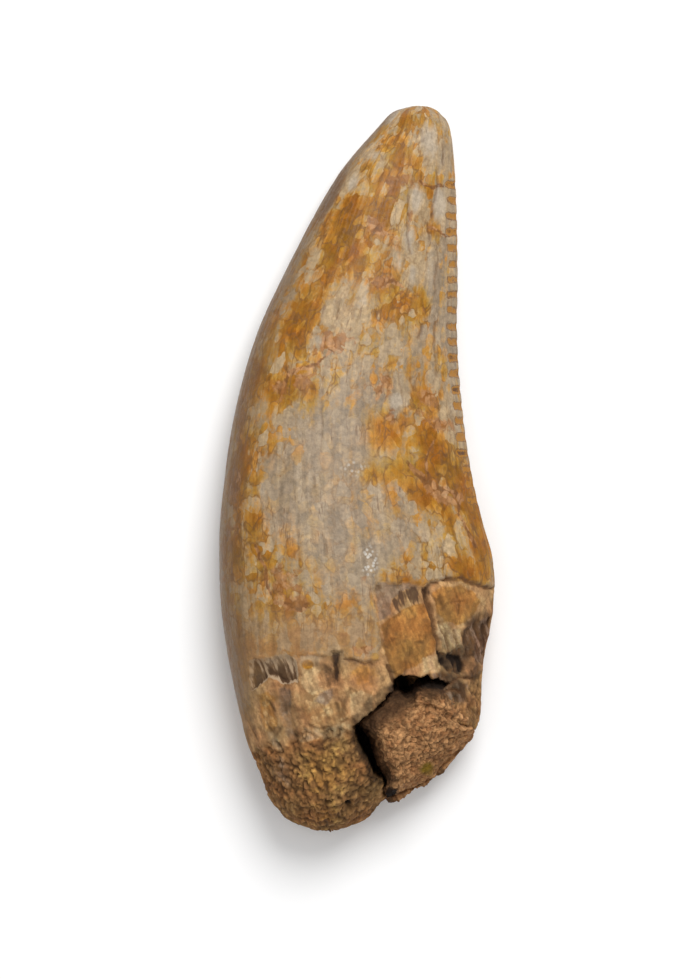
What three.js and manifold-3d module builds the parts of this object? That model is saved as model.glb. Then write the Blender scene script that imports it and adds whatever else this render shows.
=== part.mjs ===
// A fossil theropod tooth, lying on its flatter side as it would on a table.
// Millimetres, +Z up. +Y runs from the broken root to the tip, and +X points to the
// serrated back edge. The origin is on the surface it lies on, under the middle of its box.
// Two pieces: the tooth itself (crown and root, which grew as one) and the sandstone that
// filled its pulp cavity, which shows where the root wall has broken away.
import * as THREE from "three";
import { mergeVertices } from "three/addons/utils/BufferGeometryUtils.js";
import Module from "manifold-3d";

const wasm = await Module();
wasm.setup();

// Driving dimensions
const LENGTH = 24; // broken root to tip
const WIDTH = 9.02; // front edge to back edge, at the widest part of the crown
const HALF_LENGTH = LENGTH / 2;
const HALF_WIDTH = WIDTH / 2;
const REST_FLAT = 0.16; // depth of the worn flat that the tooth lies on
const UNDERSIDE_SHARE = 0.72; // the side it lies on is this much as deep as the upper side
const TIP_LIFT = 0.55; // height of the underside above the table at the tip
const LIFT_START = 3; // the underside leaves the table this far up the crown
const ROOT_START = -4; // the section starts to fatten here, towards the root
const ROOT_FULL = -9; // and has its full root shape here

// Back-edge serrations
const DENTICLE_PITCH = 0.52;
const DENTICLE_COUNT = 20;
const DENTICLE_DEPTH = 0.1;
const DENTICLE_LOW_END = -1.05; // where the row of denticles starts, towards the root

// Sandstone fill
const WALL_FLOOR = 1.1; // height of the root wall left under the fill
const FILL_GAP = 0.3; // crevice between the fill and the wall round it
const CUT_TOP = 7; // above the whole tooth

// How a section closes at its edges: 0.5 is round, 1 is a straight-sided wedge
const FRONT_POWER = 0.5;
const CROWN_BACK_POWER = 0.82;
const ROOT_BACK_POWER = 0.6;
const UNDERSIDE_FRONT_POWER = 0.45;
const UNDERSIDE_BACK_POWER = 0.62;

// Mesh resolution
const RING_POINTS = 28;
const PLAIN_STEP = 0.65; // row spacing away from the denticles
const ROWS_PER_DENTICLE = 4;
const NOTCH_HALF_SHARE = 0.2; // half of a notch's width, as a share of the pitch
const TIP_ROWS = [1, 0.6, 0.3, 0.1, 0]; // last rows below the tip, in plain steps
const CURVE_SAMPLES = 600;
const MERGE_DISTANCE = 1e-4;
const LEAST_INSET_COSINE = 0.5; // keeps an inset corner from running away

// Front (mesial) edge from the tip to the root, seen from above.
const FRONT_EDGE = [
  [2.0, HALF_LENGTH],
  [1.28, 11.85],
  [0.59, 11.14],
  [-0.63, 9.66],
  [-2.01, 7.19],
  [-3.26, 4.49],
  [-4.02, 1.76],
  [-4.44, -1.2],
  [-HALF_WIDTH, -3.34],
  [-4.31, -5.65],
  [-3.75, -8.41],
  [-3.06, -10.58],
  [-2.45, -11.4],
  [-1.45, -HALF_LENGTH],
];

// Back (distal) edge from the tip to the root.
const BACK_EDGE = [
  [2.14, HALF_LENGTH],
  [2.73, 11.77],
  [3.09, 11.14],
  [3.26, 9.17],
  [3.32, 6.21],
  [3.29, 4.39],
  [3.49, 1.76],
  [3.82, -0.48],
  [4.15, -1.86],
  [4.46, -3.01],
  [HALF_WIDTH, -4.66],
  [4.2, -6.37],
  [4.12, -7.82],
  [3.95, -8.71],
  [3.09, -9.6],
  [1.71, -10.81],
  [0.59, -11.18],
  [-0.16, -11.74],
  [-0.66, -HALF_LENGTH],
];

// Depth of the upper side above the two edges, from the tip to the root.
const UPPER_DEPTH = [
  [0.2, HALF_LENGTH],
  [0.6, 11.5],
  [1.05, 10],
  [1.6, 7],
  [2.1, 4],
  [2.55, 0],
  [2.8, -4],
  [2.7, -8],
  [2.35, -10.5],
  [1.8, -11.5],
  [1.2, -HALF_LENGTH],
];

// Where the root wall has broken away from the upper side: along the crevice from the base,
// round under the overhanging dentine, out past the back edge and round the base again.
const BROKEN_WALL = [
  [1.15, -12.6],
  [1.05, -10.8],
  [0.65, -9.9],
  [0.1, -9.0],
  [0.0, -8.45],
  [0.55, -7.95],
  [1.15, -7.45],
  [1.7, -6.85],
  [2.6, -6.95],
  [3.25, -7.3],
  [5.2, -7.7],
  [5.2, -12.6],
];

// A lookup of x by y along a smooth curve through the points.
function edgeCurve(points) {
  const samples = new THREE.SplineCurve(points.map(([x, y]) => new THREE.Vector2(x, y))).getPoints(CURVE_SAMPLES);
  return (y) => {
    const after = samples.findIndex((p) => p.y <= y);
    if (after < 0) return samples.at(-1).x;
    if (after === 0) return samples[0].x;
    const [a, b] = [samples[after - 1], samples[after]];
    return THREE.MathUtils.lerp(a.x, b.x, (a.y - y) / (a.y - b.y));
  };
}

const frontEdge = edgeCurve(FRONT_EDGE);
const backEdge = edgeCurve(BACK_EDGE);
const upperDepth = edgeCurve(UPPER_DEPTH);

// How much of its full depth a section has at s, from -1 at the round front edge
// to +1 at the keen back edge.
function sectionDepth(s, frontPower, backPower) {
  const peak = (frontPower - backPower) / (frontPower + backPower);
  const bulge = (t) => Math.max(0, 1 + t) ** frontPower * Math.max(0, 1 - t) ** backPower;
  return bulge(s) / bulge(peak);
}

// How far the back edge steps in at height y: nothing on a denticle, full depth between two.
function denticleNotch(y) {
  const along = (y - DENTICLE_LOW_END) / DENTICLE_PITCH;
  if (along < 0 || along > DENTICLE_COUNT) return 0;
  return Math.abs(along - Math.round(along)) < NOTCH_HALF_SHARE ? DENTICLE_DEPTH : 0;
}

// One closed section of the tooth at height y, as a ring that starts at the back edge.
function sectionRing(y) {
  const back = backEdge(y);
  const front = frontEdge(y);
  const middle = (back + front) / 2;
  const halfChord = (back - front) / 2;
  const rootShare = THREE.MathUtils.smoothstep(-y, -ROOT_START, -ROOT_FULL);
  const backPower = THREE.MathUtils.lerp(CROWN_BACK_POWER, ROOT_BACK_POWER, rootShare);
  const up = upperDepth(y);
  const down = up * UNDERSIDE_SHARE;
  const lift = TIP_LIFT * THREE.MathUtils.smoothstep(y, LIFT_START, HALF_LENGTH);
  const edgeHeight = down - REST_FLAT + lift;
  const ring = [];
  for (let k = 0; k < RING_POINTS; k++) {
    const angle = (2 * Math.PI * k) / RING_POINTS;
    const s = Math.cos(angle);
    const depth =
      angle <= Math.PI
        ? up * sectionDepth(s, FRONT_POWER, backPower)
        : -down * sectionDepth(s, UNDERSIDE_FRONT_POWER, UNDERSIDE_BACK_POWER);
    ring.push([middle + halfChord * s, y, Math.max(0, edgeHeight + depth)]);
  }
  ring[0][0] -= denticleNotch(y);
  return ring;
}

// Heights of the sections, close together along the denticles.
function sectionHeights() {
  const top = DENTICLE_LOW_END + DENTICLE_COUNT * DENTICLE_PITCH;
  const heights = [];
  const plainRun = (from, to) => {
    const steps = Math.ceil((to - from) / PLAIN_STEP);
    for (let i = 0; i < steps; i++) heights.push(from + ((to - from) * i) / steps);
  };
  plainRun(-HALF_LENGTH, -HALF_LENGTH + PLAIN_STEP);
  plainRun(-HALF_LENGTH + PLAIN_STEP, DENTICLE_LOW_END);
  for (let i = 0; i < DENTICLE_COUNT * ROWS_PER_DENTICLE; i++) {
    heights.push(DENTICLE_LOW_END + (DENTICLE_PITCH * i) / ROWS_PER_DENTICLE);
  }
  plainRun(top, HALF_LENGTH - PLAIN_STEP);
  for (const steps of TIP_ROWS) heights.push(HALF_LENGTH - PLAIN_STEP * steps);
  return heights;
}

// The whole tooth with its fill, as one closed skin of sections from the root to the tip.
function envelopeGeometry() {
  const rings = sectionHeights().map(sectionRing);
  const positions = rings.flat();
  const triangles = [];
  const at = (i, k) => i * RING_POINTS + (k % RING_POINTS);
  for (let i = 0; i + 1 < rings.length; i++) {
    for (let k = 0; k < RING_POINTS; k++) {
      triangles.push(at(i, k), at(i + 1, k), at(i + 1, k + 1));
      triangles.push(at(i, k), at(i + 1, k + 1), at(i, k + 1));
    }
  }
  const last = rings.length - 1;
  const middleOf = (ring) => [0, 1, 2].map((c) => ring.reduce((sum, p) => sum + p[c], 0) / ring.length);
  const rootCentre = positions.push(middleOf(rings[0])) - 1;
  const tipCentre = positions.push(middleOf(rings[last])) - 1;
  for (let k = 0; k < RING_POINTS; k++) {
    triangles.push(rootCentre, at(0, k), at(0, k + 1));
    triangles.push(tipCentre, at(last, k + 1), at(last, k));
  }
  return new THREE.BufferGeometry()
    .setAttribute("position", new THREE.Float32BufferAttribute(positions.flat(), 3))
    .setIndex(triangles);
}

// An upright block with the given outline, from height low to the top of the cut.
function uprightBlock(outline, low) {
  const shape = new THREE.Shape(outline.map(([x, y]) => new THREE.Vector2(x, y)));
  return new THREE.ExtrudeGeometry(shape, { depth: CUT_TOP - low, bevelEnabled: false }).translate(0, 0, low);
}

// The outline moved inwards by the same distance all round. It runs clockwise.
function insetOutline(outline, distance) {
  const count = outline.length;
  const point = (i) => new THREE.Vector2(...outline[(i + count) % count]);
  return outline.map((_, i) => {
    const before = point(i).sub(point(i - 1)).normalize();
    const after = point(i + 1).sub(point(i)).normalize();
    const inward = new THREE.Vector2(before.y + after.y, -before.x - after.x).normalize();
    const cosine = inward.dot(new THREE.Vector2(before.y, -before.x));
    const stretch = distance / Math.max(LEAST_INSET_COSINE, cosine);
    return point(i).addScaledVector(inward, stretch).toArray();
  });
}

function toSolid(geometry) {
  geometry.deleteAttribute("normal");
  geometry.deleteAttribute("uv");
  const merged = mergeVertices(geometry, MERGE_DISTANCE);
  return new wasm.Manifold(
    new wasm.Mesh({
      numProp: 3,
      vertProperties: merged.attributes.position.array,
      triVerts: new Uint32Array(merged.index.array),
    }),
  );
}

function toMesh(name, solid, material) {
  const { vertProperties, triVerts } = solid.getMesh();
  const geometry = new THREE.BufferGeometry()
    .setAttribute("position", new THREE.BufferAttribute(vertProperties, 3))
    .setIndex(new THREE.BufferAttribute(triVerts, 1));
  geometry.computeVertexNormals();
  const mesh = new THREE.Mesh(geometry, material);
  mesh.name = name;
  return mesh;
}

const enamel = new THREE.MeshStandardMaterial({ color: 0xaf9b81, roughness: 0.45, metalness: 0 });
const sandstone = new THREE.MeshStandardMaterial({ color: 0x895f3c, roughness: 0.95, metalness: 0 });

const envelope = toSolid(envelopeGeometry());
const wallCut = toSolid(uprightBlock(BROKEN_WALL, WALL_FLOOR));
const fillBlock = toSolid(uprightBlock(insetOutline(BROKEN_WALL, FILL_GAP), WALL_FLOOR + FILL_GAP));

const fossil = new THREE.Group();
fossil.name = "fossil_tooth";
fossil.add(toMesh("tooth", envelope.subtract(wallCut), enamel));
fossil.add(toMesh("sandstone_fill", envelope.intersect(fillBlock), sandstone));

export default fossil;
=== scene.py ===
"""Looks of a fossil raptor tooth that lies on its flatter side, seen from straight above.

Shapes are worked out in millimetres: +Y runs from root to tip, +X to the serrated back edge, +Z up.
"""

import math
from types import SimpleNamespace

import bpy
import numpy as np
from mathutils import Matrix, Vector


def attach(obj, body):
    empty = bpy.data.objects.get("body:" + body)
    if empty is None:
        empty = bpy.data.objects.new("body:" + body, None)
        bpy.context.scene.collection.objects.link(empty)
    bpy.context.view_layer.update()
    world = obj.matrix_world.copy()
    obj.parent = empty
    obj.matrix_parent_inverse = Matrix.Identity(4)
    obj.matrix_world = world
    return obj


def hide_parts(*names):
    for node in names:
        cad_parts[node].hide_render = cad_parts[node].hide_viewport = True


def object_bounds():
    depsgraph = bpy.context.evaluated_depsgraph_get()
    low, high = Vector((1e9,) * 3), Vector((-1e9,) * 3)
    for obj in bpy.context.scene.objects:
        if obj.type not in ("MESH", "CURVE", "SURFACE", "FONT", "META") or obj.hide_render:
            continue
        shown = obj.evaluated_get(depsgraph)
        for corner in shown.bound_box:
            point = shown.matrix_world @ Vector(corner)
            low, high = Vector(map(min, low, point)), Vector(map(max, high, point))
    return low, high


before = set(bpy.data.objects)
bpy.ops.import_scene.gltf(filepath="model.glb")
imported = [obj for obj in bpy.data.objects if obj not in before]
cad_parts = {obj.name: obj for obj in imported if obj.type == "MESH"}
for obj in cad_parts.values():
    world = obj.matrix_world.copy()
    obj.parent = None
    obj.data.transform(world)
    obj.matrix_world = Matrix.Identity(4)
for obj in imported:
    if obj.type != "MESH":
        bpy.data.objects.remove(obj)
cad_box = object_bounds()

MM = 0.001
BOX_LOW, BOX_HIGH = (np.array(corner) / MM for corner in cad_box)

# Outline of the tooth seen from above, as (x, y) points from tip to root
FRONT_EDGE = [
    (1.85, 12), (1.55, 11.93), (1.12, 11.74), (0.59, 11.14), (-0.63, 9.66), (-2.01, 7.19),
    (-3.26, 4.49), (-4.02, 1.76), (-4.44, -1.2), (-4.51, -3.34), (-4.31, -5.65), (-3.75, -8.41),
    (-3.16, -10.26), (-2.86, -10.91), (-2.36, -11.57), (-1.5, -12),
]
BACK_EDGE = [
    (2.3, 12), (2.52, 11.93), (2.76, 11.74), (3.09, 11.14), (3.26, 9.17), (3.32, 6.21), (3.29, 4.39),
    (3.49, 1.76), (3.82, -0.48), (4.15, -1.86), (4.46, -3.01), (4.51, -4.66), (4.2, -6.37),
    (4.12, -7.82), (4.02, -8.5), (3.69, -8.94), (3.03, -9.6), (2.44, -10.2), (1.05, -10.91),
    (0.34, -11.57), (-0.59, -12),
]
# Height of the upper face above the edges, as (height, y) points from tip to root
UPPER_DEPTH = [
    (0.2, 12), (0.6, 11.5), (1.05, 10), (1.6, 7), (2.1, 4), (2.55, 0), (2.8, -4), (2.7, -8),
    (2.35, -10.5), (1.8, -11.5), (1.2, -12),
]
TIP_Y = 12.0
ROOT_Y = -12.0
UNDERSIDE_SHARE = 0.72
REST_FLAT = 0.16
TIP_LIFT = 0.55
LIFT_START = 3.0
FRONT_POWER = 0.5
CROWN_BACK_POWER = 0.82
ROOT_BACK_POWER = 0.6
ROOT_START = -4.0
ROOT_FULL = -9.0
UNDERSIDE_FRONT_POWER = 0.45
UNDERSIDE_BACK_POWER = 0.62

# Fineness of the tooth's skin
CROWN_ROWS = 215
ROOT_ROWS = 170
ROWS_MEET = -4.0
END_ROWS = 8
END_LENGTH = 0.06
UPPER_POINTS = 200
LOWER_POINTS = 44
ROOT_CAP_RINGS = 8
CURVE_SAMPLES = 24
REFERENCE_HALF_WIDTH = 4.5
REFERENCE_HEIGHT = 2.6
FLOW_LEAST = 1.2
FIBRE_LEAN = 20.0
FLOW_SHARE = 0.6
FLOW_HEIGHT = 0.7
EDGE_BLEND = 0.04
RAGGED_ACROSS = 0.09
RAGGED_ALONG = 0.11
RAGGED_FINENESS = 2.6

# Serration of the back edge
DENTICLE_PITCH = 0.52
DENTICLE_COUNT = 20
DENTICLE_LOW_END = -1.05
DENTICLE_REACH = 0.4
NOTCH_HALF_WIDTH = 0.17
NOTCH_DEPTH = 0.022
EDGE_NOTCH_DEPTH = 0.01

# Depths of the relief, in millimetres
FLUTE_DEPTH = 0.02
GROWTH_DEPTH = 0.014
POCK_DEPTH = 0.05
FIBRE_DEPTH = 0.035
PLATE_DEPTH = 0.03
SEAM_DEPTH = 0.04
SPLINTER_DEPTH = 0.16
SPLINTER_LEAST = 0.05
GRAIN_DEPTH = 0.1
LUMP_DEPTH = 0.12
COMB_CUT = 0.12
FRAY_CUT = 0.06
SLOT_SIDE_CUT = 0.07
SLOT_CUT = 0.18
TROUGH_CUT = 0.08
TROUGH_HALF_WIDTH = 0.28
# Share of the relief that the underside has
UNDERSIDE_RELIEF = 0.45
# Depths at which cracks are darkest, with the share for the crown's, and where painted shade in cuts,
# cracks and pits starts, with its span
CROWN_CRACK_FULL = 0.03
CROWN_CRACK_DARKNESS = 0.5
ROOT_CRACK_FULL = 0.09
SHADE_START = 0.06
SHADE_SPAN = 0.2
# How the width of cracks and of veins varies: amount, fineness and seed
CRACK_SWAY = (0.6, 2.2, 24)
VEIN_SWAY = (0.7, 2.5, 25)

# Bare root on the upper face, below the ragged edge of the enamel, and the edge's height on the underside
BARE_ROOT = [
    (-4.4, -9.3), (-3.88, -8.77), (-3.52, -7.62), (-3.42, -6.17), (-1.94, -6.07), (-0.89, -5.98),
    (-0.4, -5.98), (-0.16, -6.17), (0.69, -6.17), (0.79, -5.65), (0.66, -4.82), (0.53, -4.23),
    (0.63, -3.74), (1.15, -3.64), (1.91, -3.77), (2.34, -3.87), (2.6, -3.64), (3.06, -3.57),
    (3.56, -3.74), (5.2, -4.0), (5.2, -13), (-4.4, -13),
]
ENAMEL_FRONT_UNDER = -7.3
ENAMEL_BACK_UNDER = -4.1
ENAMEL_THICKNESS = 0.06
ENAMEL_SOFTNESS = 0.05
# The enamel's edge is faint to the left of this span of x, and sharp to the right of it
FADED_SPAN = (0.1, 0.7)
FADED_EDGE = 0.45
FADED_STEP = 0.15
# Lower end of the smooth dentine, below which the root is worn to grains
GRAIN_EDGE = [
    (-4.0, -9.4), (-3.2, -9.1), (-2.4, -8.9), (-1.8, -8.5), (-0.9, -8.45), (0.0, -8.45), (0.6, -8.3),
    (5, -8.3),
]
GRAIN_STEP = 0.06
GRAIN_SIZE = 0.19
GRAIN_SEED = 43

# Where the root wall has broken away and shows the sandstone inside
BROKEN_WALL = [
    (1.12, -12.56), (1.05, -10.91), (1.02, -10.58), (0.95, -10.29), (0.66, -10.09), (0.26, -9.33),
    (0.03, -8.77), (-0.13, -8.41), (0.26, -8.08), (0.76, -7.65), (1.19, -7.23), (1.25, -6.93),
    (1.45, -6.75), (1.84, -6.75), (2.05, -6.83), (2.3, -6.78), (2.67, -6.9), (3.03, -6.98),
    (2.8, -7.15), (2.63, -7.45), (2.83, -7.9), (3.3, -8.3), (3.85, -8.62), (5.2, -8.8), (5.2, -12.56),
]
WALL_FLOOR = 1.1
WALL_INSET = 0.5
INSET_TOP = (-8.6, -8.95)
INSET_END = (-10.9, -10.3)
LEAST_WALL = 0.3
FILL_OUTLINE = [
    (1.0, -10.93), (1.38, -10.8), (1.8, -10.58), (2.25, -10.36), (2.58, -10.12), (3.14, -9.62),
    (3.72, -9.02), (3.96, -8.68), (3.95, -8.2), (3.75, -7.75), (3.5, -7.4), (3.2, -7.15), (2.85, -6.9),
    (2.5, -6.78), (2.15, -6.8), (1.85, -7.0), (1.5, -7.2), (1.1, -7.1), (0.55, -7.55), (-0.02, -8.1),
    (0.0, -8.4), (0.26, -8.8), (0.44, -9.3), (0.64, -9.8), (0.85, -10.2), (0.82, -10.5), (0.86, -10.78),
]
FILL_CENTRE = (2.25, -9.0)
# Where the fill falls away into the dark hole and crevice, and where it meets the wall
HOLE_LIP = [(1.3, -7.0), (1.6, -7.1)]
HOLE_TOP = [(1.25, -6.95), (1.5, -6.8), (2.05, -6.85), (2.67, -6.95), (3.0, -7.05)]
CREVICE = [(0.0, -8.5), (0.2, -9.0), (0.45, -9.7), (0.75, -10.15)]
JOINED = [
    [(0.0, -8.1), (0.55, -7.6), (1.1, -7.15)],
    [(2.63, -7.45), (2.83, -7.9), (3.3, -8.3), (3.95, -8.68)],
    [(2.0, -6.9), (2.5, -6.78), (2.85, -6.9), (3.2, -7.15)],
    [(0.88, -10.3), (0.82, -10.5), (0.86, -10.85)],
]

# Chips, slots and facets on the upper face of the bare root
COMB_CHIP = [
    (-3.49, -6.21), (-2.86, -6.07), (-2.27, -5.98), (-1.98, -6.21), (-1.96, -6.86), (-2.44, -6.96),
    (-2.6, -6.73), (-2.93, -6.73), (-3.13, -6.96), (-3.42, -7.16),
]
COMB_TOP = [(-3.49, -6.21), (-2.86, -6.07), (-2.27, -5.98), (-1.98, -6.1)]
COMB_LENGTH = 0.7
FRAYED_CHIP = [
    (1.15, -4.26), (1.48, -3.97), (2.24, -3.8), (2.44, -3.93), (2.34, -4.33), (1.84, -4.5),
    (1.48, -4.75), (1.2, -4.65),
]
FRAYED_TOP = [(1.15, -4.2), (1.48, -3.95), (2.24, -3.8), (2.44, -3.85)]
FRAYED_LENGTH = 0.75
SLOT = [(-0.84, -5.89), (-0.5, -5.87), (-0.58, -6.4), (-0.6, -7.05), (-0.74, -6.8)]
SLOT_SIDE = [
    (-1.22, -6.07), (-0.82, -5.91), (-0.47, -5.88), (-0.52, -6.5), (-0.62, -7.05), (-0.99, -7.13),
    (-1.12, -6.57),
]
TROUGH = [(-2.37, -7.06), (-2.32, -7.95), (-2.11, -8.8)]
BACK_BLOCK = [
    (0.79, -5.02), (1.12, -4.82), (1.84, -4.43), (2.24, -4.36), (2.5, -5.02), (2.67, -5.58),
    (2.57, -5.94), (2.24, -6.21), (1.58, -6.57), (1.28, -6.83), (1.09, -6.44), (0.89, -5.74),
]
EDGE_BLOCK = [
    (2.5, -4.0), (2.83, -3.84), (3.42, -3.77), (3.82, -4.0), (4.08, -4.3), (3.98, -4.63), (3.62, -4.99),
    (3.19, -5.12), (2.83, -4.95), (2.57, -4.56),
]
MAUVE_PATCH = [
    (0.63, -3.7), (1.19, -3.65), (1.84, -3.75), (2.07, -3.87), (1.51, -4.0), (1.15, -4.23),
    (1.09, -4.49), (1.19, -4.76), (0.69, -4.89),
]
PALE_WEDGE = [
    (2.63, -4.99), (3.19, -5.15), (3.52, -5.32), (3.42, -5.58), (3.62, -6.11), (3.26, -6.01),
    (2.83, -5.84), (2.67, -5.51),
]
DARK_SIDE = [
    (3.56, -5.3), (4.0, -4.96), (4.7, -4.8), (4.7, -5.65), (4.5, -5.98), (4.2, -6.44), (3.62, -6.14),
    (3.46, -5.65),
]
ROUGH_SIDE = [
    (3.7, -6.9), (4.4, -6.6), (4.4, -8.9), (3.9, -8.7), (3.3, -8.4), (2.73, -7.92), (3.0, -7.7),
    (3.6, -7.6),
]
KNOB = [(2.14, -6.17), (2.44, -5.98), (2.73, -6.01), (2.83, -6.37), (2.63, -6.63), (2.21, -6.6)]
FRONT_FACET = [
    (-3.29, -7.29), (-2.86, -7.19), (-2.6, -7.39), (-2.6, -8.51), (-2.93, -8.58), (-3.13, -8.12),
]
MIDDLE_FACET = [
    (-1.98, -7.49), (-1.38, -7.69), (-0.72, -7.56), (-0.36, -7.42), (-0.23, -8.21), (-1.05, -8.35),
    (-1.88, -8.08),
]
PALE_BLOCK = [
    (-1.88, -5.91), (-1.15, -6.04), (-1.19, -6.57), (-1.09, -7.16), (-1.48, -7.29), (-1.81, -6.96),
]
PALE_CORNER = [
    (-0.23, -7.29), (0.13, -7.16), (0.53, -7.36), (0.49, -8.02), (0.1, -8.35), (-0.16, -8.02),
]
GREY_BAND = [
    (-1.98, -8.35), (-1.05, -8.35), (-0.16, -8.08), (-0.1, -8.61), (-1.05, -8.81), (-1.88, -8.87),
    (-2.21, -8.77),
]
GREY_STEP = [(-2.96, -8.54), (-2.57, -8.51), (-2.44, -9.1), (-2.8, -9.2)]
MAUVE_CORNER = [
    (-1.38, -7.52), (-1.15, -7.23), (-0.79, -7.09), (-0.69, -7.36), (-1.02, -7.65), (-1.28, -7.62),
]
TROUGH_BAND = [
    (-2.6, -7.06), (-2.14, -7.06), (-2.11, -8.18), (-1.94, -8.84), (-2.21, -8.87), (-2.53, -8.28),
]
# Hollow in the back wall, cut in and painted dark as its shade
SMUDGE = [
    (2.77, -5.94), (3.13, -5.98), (3.62, -6.14), (3.72, -6.44), (3.39, -6.7), (3.0, -6.57),
    (2.73, -6.3),
]
SMUDGE_DEPTH = 0.33
# Torn wall beside the hole
TORN_WALL = [(2.5, -6.7), (3.2, -6.72), (3.7, -7.1), (3.65, -7.6), (3.0, -7.7), (2.6, -7.45)]
# Colours of these zones, each with its outline and strength
ZONE_SOFTNESS = 0.13
ROOT_ZONES = {
    "amber": [(BACK_BLOCK, 1.0), (EDGE_BLOCK, 0.85), (FRONT_FACET, 0.7), (MIDDLE_FACET, 0.6)],
    "pale": [(PALE_WEDGE, 0.8), (KNOB, 0.8), (PALE_CORNER, 1.0), (PALE_BLOCK, 0.8), (FRONT_FACET, 0.35),
             (MIDDLE_FACET, 0.5), (GREY_BAND, 0.6), (GREY_STEP, 0.6)],
    "grey": [(MAUVE_PATCH, 0.9), (GREY_BAND, 0.4), (GREY_STEP, 0.4), (MAUVE_CORNER, 0.75),
             (TROUGH_BAND, 0.7)],
    # Umber is partly dark brown and partly painted shade, in the slot, the hollow and by the hole
    "umber_and_shade": [(DARK_SIDE, 0.9), (SLOT_SIDE, 0.5), (SLOT, 1.0), (TROUGH_BAND, 0.45), (SMUDGE, 1.0),
              (TORN_WALL, 0.9)],
}
FIBROUS_ZONES = [(DARK_SIDE, 1.0), (PALE_WEDGE, 0.7), (KNOB, 0.4), (TORN_WALL, 0.8)]
# Each crack is its points, half width and depth
ROOT_CRACKS = [
    ([(-0.4, -6.15), (0.1, -6.25), (0.5, -6.3)], 0.07, 0.08),
    ([(1.02, -6.37), (1.12, -6.7), (1.25, -6.95)], 0.1, 0.12),
    ([(2.3, -3.85), (2.3, -4.2), (2.38, -4.6)], 0.13, 0.14),
    ([(2.3, -4.1), (2.38, -4.6), (2.5, -5.02), (2.65, -5.58), (2.72, -5.98)], 0.09, 0.14),
    ([(2.2, -3.9), (2.44, -3.75), (2.8, -3.62), (3.36, -3.57), (3.79, -3.75), (4.44, -3.9)], 0.08, 0.1),
    ([(2.7, -5.0), (2.95, -5.5), (3.1, -5.95)], 0.06, 0.07),
    ([(3.2, -5.25), (3.35, -5.75), (3.5, -6.1)], 0.06, 0.07),
    ([(1.05, -4.95), (0.92, -5.5), (1.05, -6.2)], 0.06, 0.05),
    ([(2.75, -4.7), (3.0, -4.4), (3.5, -4.3)], 0.05, 0.04),
    ([(2.3, -7.55), (2.7, -7.3), (3.1, -7.15), (3.5, -7.25)], 0.08, 0.1),
    ([(3.1, -7.0), (3.5, -6.8), (3.9, -6.9)], 0.07, 0.08),
    ([(-0.7, -7.1), (-0.55, -7.5), (-0.3, -7.9)], 0.06, 0.05),
]
CROWN_CRACKS = [
    ([(2.14, 11.11), (2.19, 10.82), (2.07, 10.72)], 0.06, 0.02),
    ([(2.81, 10.65), (2.84, 10.02)], 0.06, 0.025),
    ([(2.59, 9.75), (2.65, 9.3), (2.59, 8.84), (2.47, 8.28)], 0.06, 0.03),
    ([(1.68, 8.84), (1.65, 7.6), (1.74, 7.03)], 0.07, 0.03),
    ([(2.3, 7.99), (2.42, 7.37)], 0.06, 0.03),
    ([(2.59, 7.65), (2.65, 6.93), (2.53, 5.68)], 0.06, 0.025),
    ([(-0.3, 6.54), (-0.3, 5.68)], 0.06, 0.02),
    ([(0.61, 5.73), (0.65, 4.93)], 0.06, 0.02),
    ([(2.12, 4.61), (2.01, 4.21)], 0.08, 0.04),
    ([(2.52, 4.77), (2.6, 3.01), (2.52, 2.78)], 0.06, 0.025),
    ([(1.32, 3.51), (1.41, 2.7), (1.56, 1.74), (1.51, 0.94)], 0.06, 0.02),
    ([(-1.1, 3.1), (-1.15, 2.06), (-1.18, 0.46)], 0.06, 0.02),
    ([(-0.76, 1.43), (-0.76, 0.31)], 0.06, 0.015),
    ([(-0.05, -1.4), (-0.05, -2.6)], 0.06, 0.015),
]
# Winding rust-brown lines that edge the stains, each with its half width
VEINS = [
    ([(1.58, 0.21), (1.96, -0.15), (2.34, -0.54), (2.8, -0.67), (3.19, -0.77), (3.39, -1.0)], 0.15),
    ([(3.39, -1.0), (3.29, -1.47), (3.56, -1.86), (3.85, -2.5)], 0.09),
    ([(2.5, 0.9), (2.25, 0.3), (2.3, -0.3), (2.45, -0.6)], 0.08),
    ([(-3.98, -0.1), (-3.85, -0.31), (-3.95, -0.7)], 0.13),
    ([(-2.63, -4.33), (-2.21, -4.4), (-1.84, -4.59), (-1.66, -4.43)], 0.09),
    ([(-3.3, -2.5), (-3.0, -3.2), (-2.8, -4.0)], 0.08),
    ([(-0.6, 4.1), (-1.23, 3.45), (-1.71, 3.21), (-2.19, 3.09), (-2.35, 2.85)], 0.09),
    ([(0.35, 8.2), (0.75, 7.75), (1.3, 7.5)], 0.09),
    ([(0.5, 6.05), (1.0, 6.15), (1.45, 5.95)], 0.1),
    ([(2.1, 9.35), (2.5, 9.2), (2.85, 9.3)], 0.1),
    ([(2.35, 7.9), (2.7, 7.75), (3.1, 7.6)], 0.09),
]
# Thin tan film over the enamel near its lower edge
VEIL = [
    (-1.6, -5.4, 2.2, 0.75, 0, 0.95), (-3.3, -6.6, 0.8, 1.6, -8, 0.8), (0.2, -5.3, 0.7, 0.6, 0, 0.7),
]
# Each hole is its place, radius and depth
HOLES = [
    (3.75, -5.3, 0.22, 0.12), (-1.71, -11.77, 0.18, 0.15), (-2.0, -8.62, 0.22, 0.1),
    (-0.23, -11.0, 0.28, 0.25), (0.2, -10.6, 0.24, 0.16), (1.1, -10.75, 0.2, 0.4),
    (-0.9, -10.9, 0.16, 0.1), (3.3, -7.5, 0.2, 0.12), (3.8, -7.8, 0.16, 0.1), (3.0, -7.1, 0.18, 0.12),
]

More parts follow.
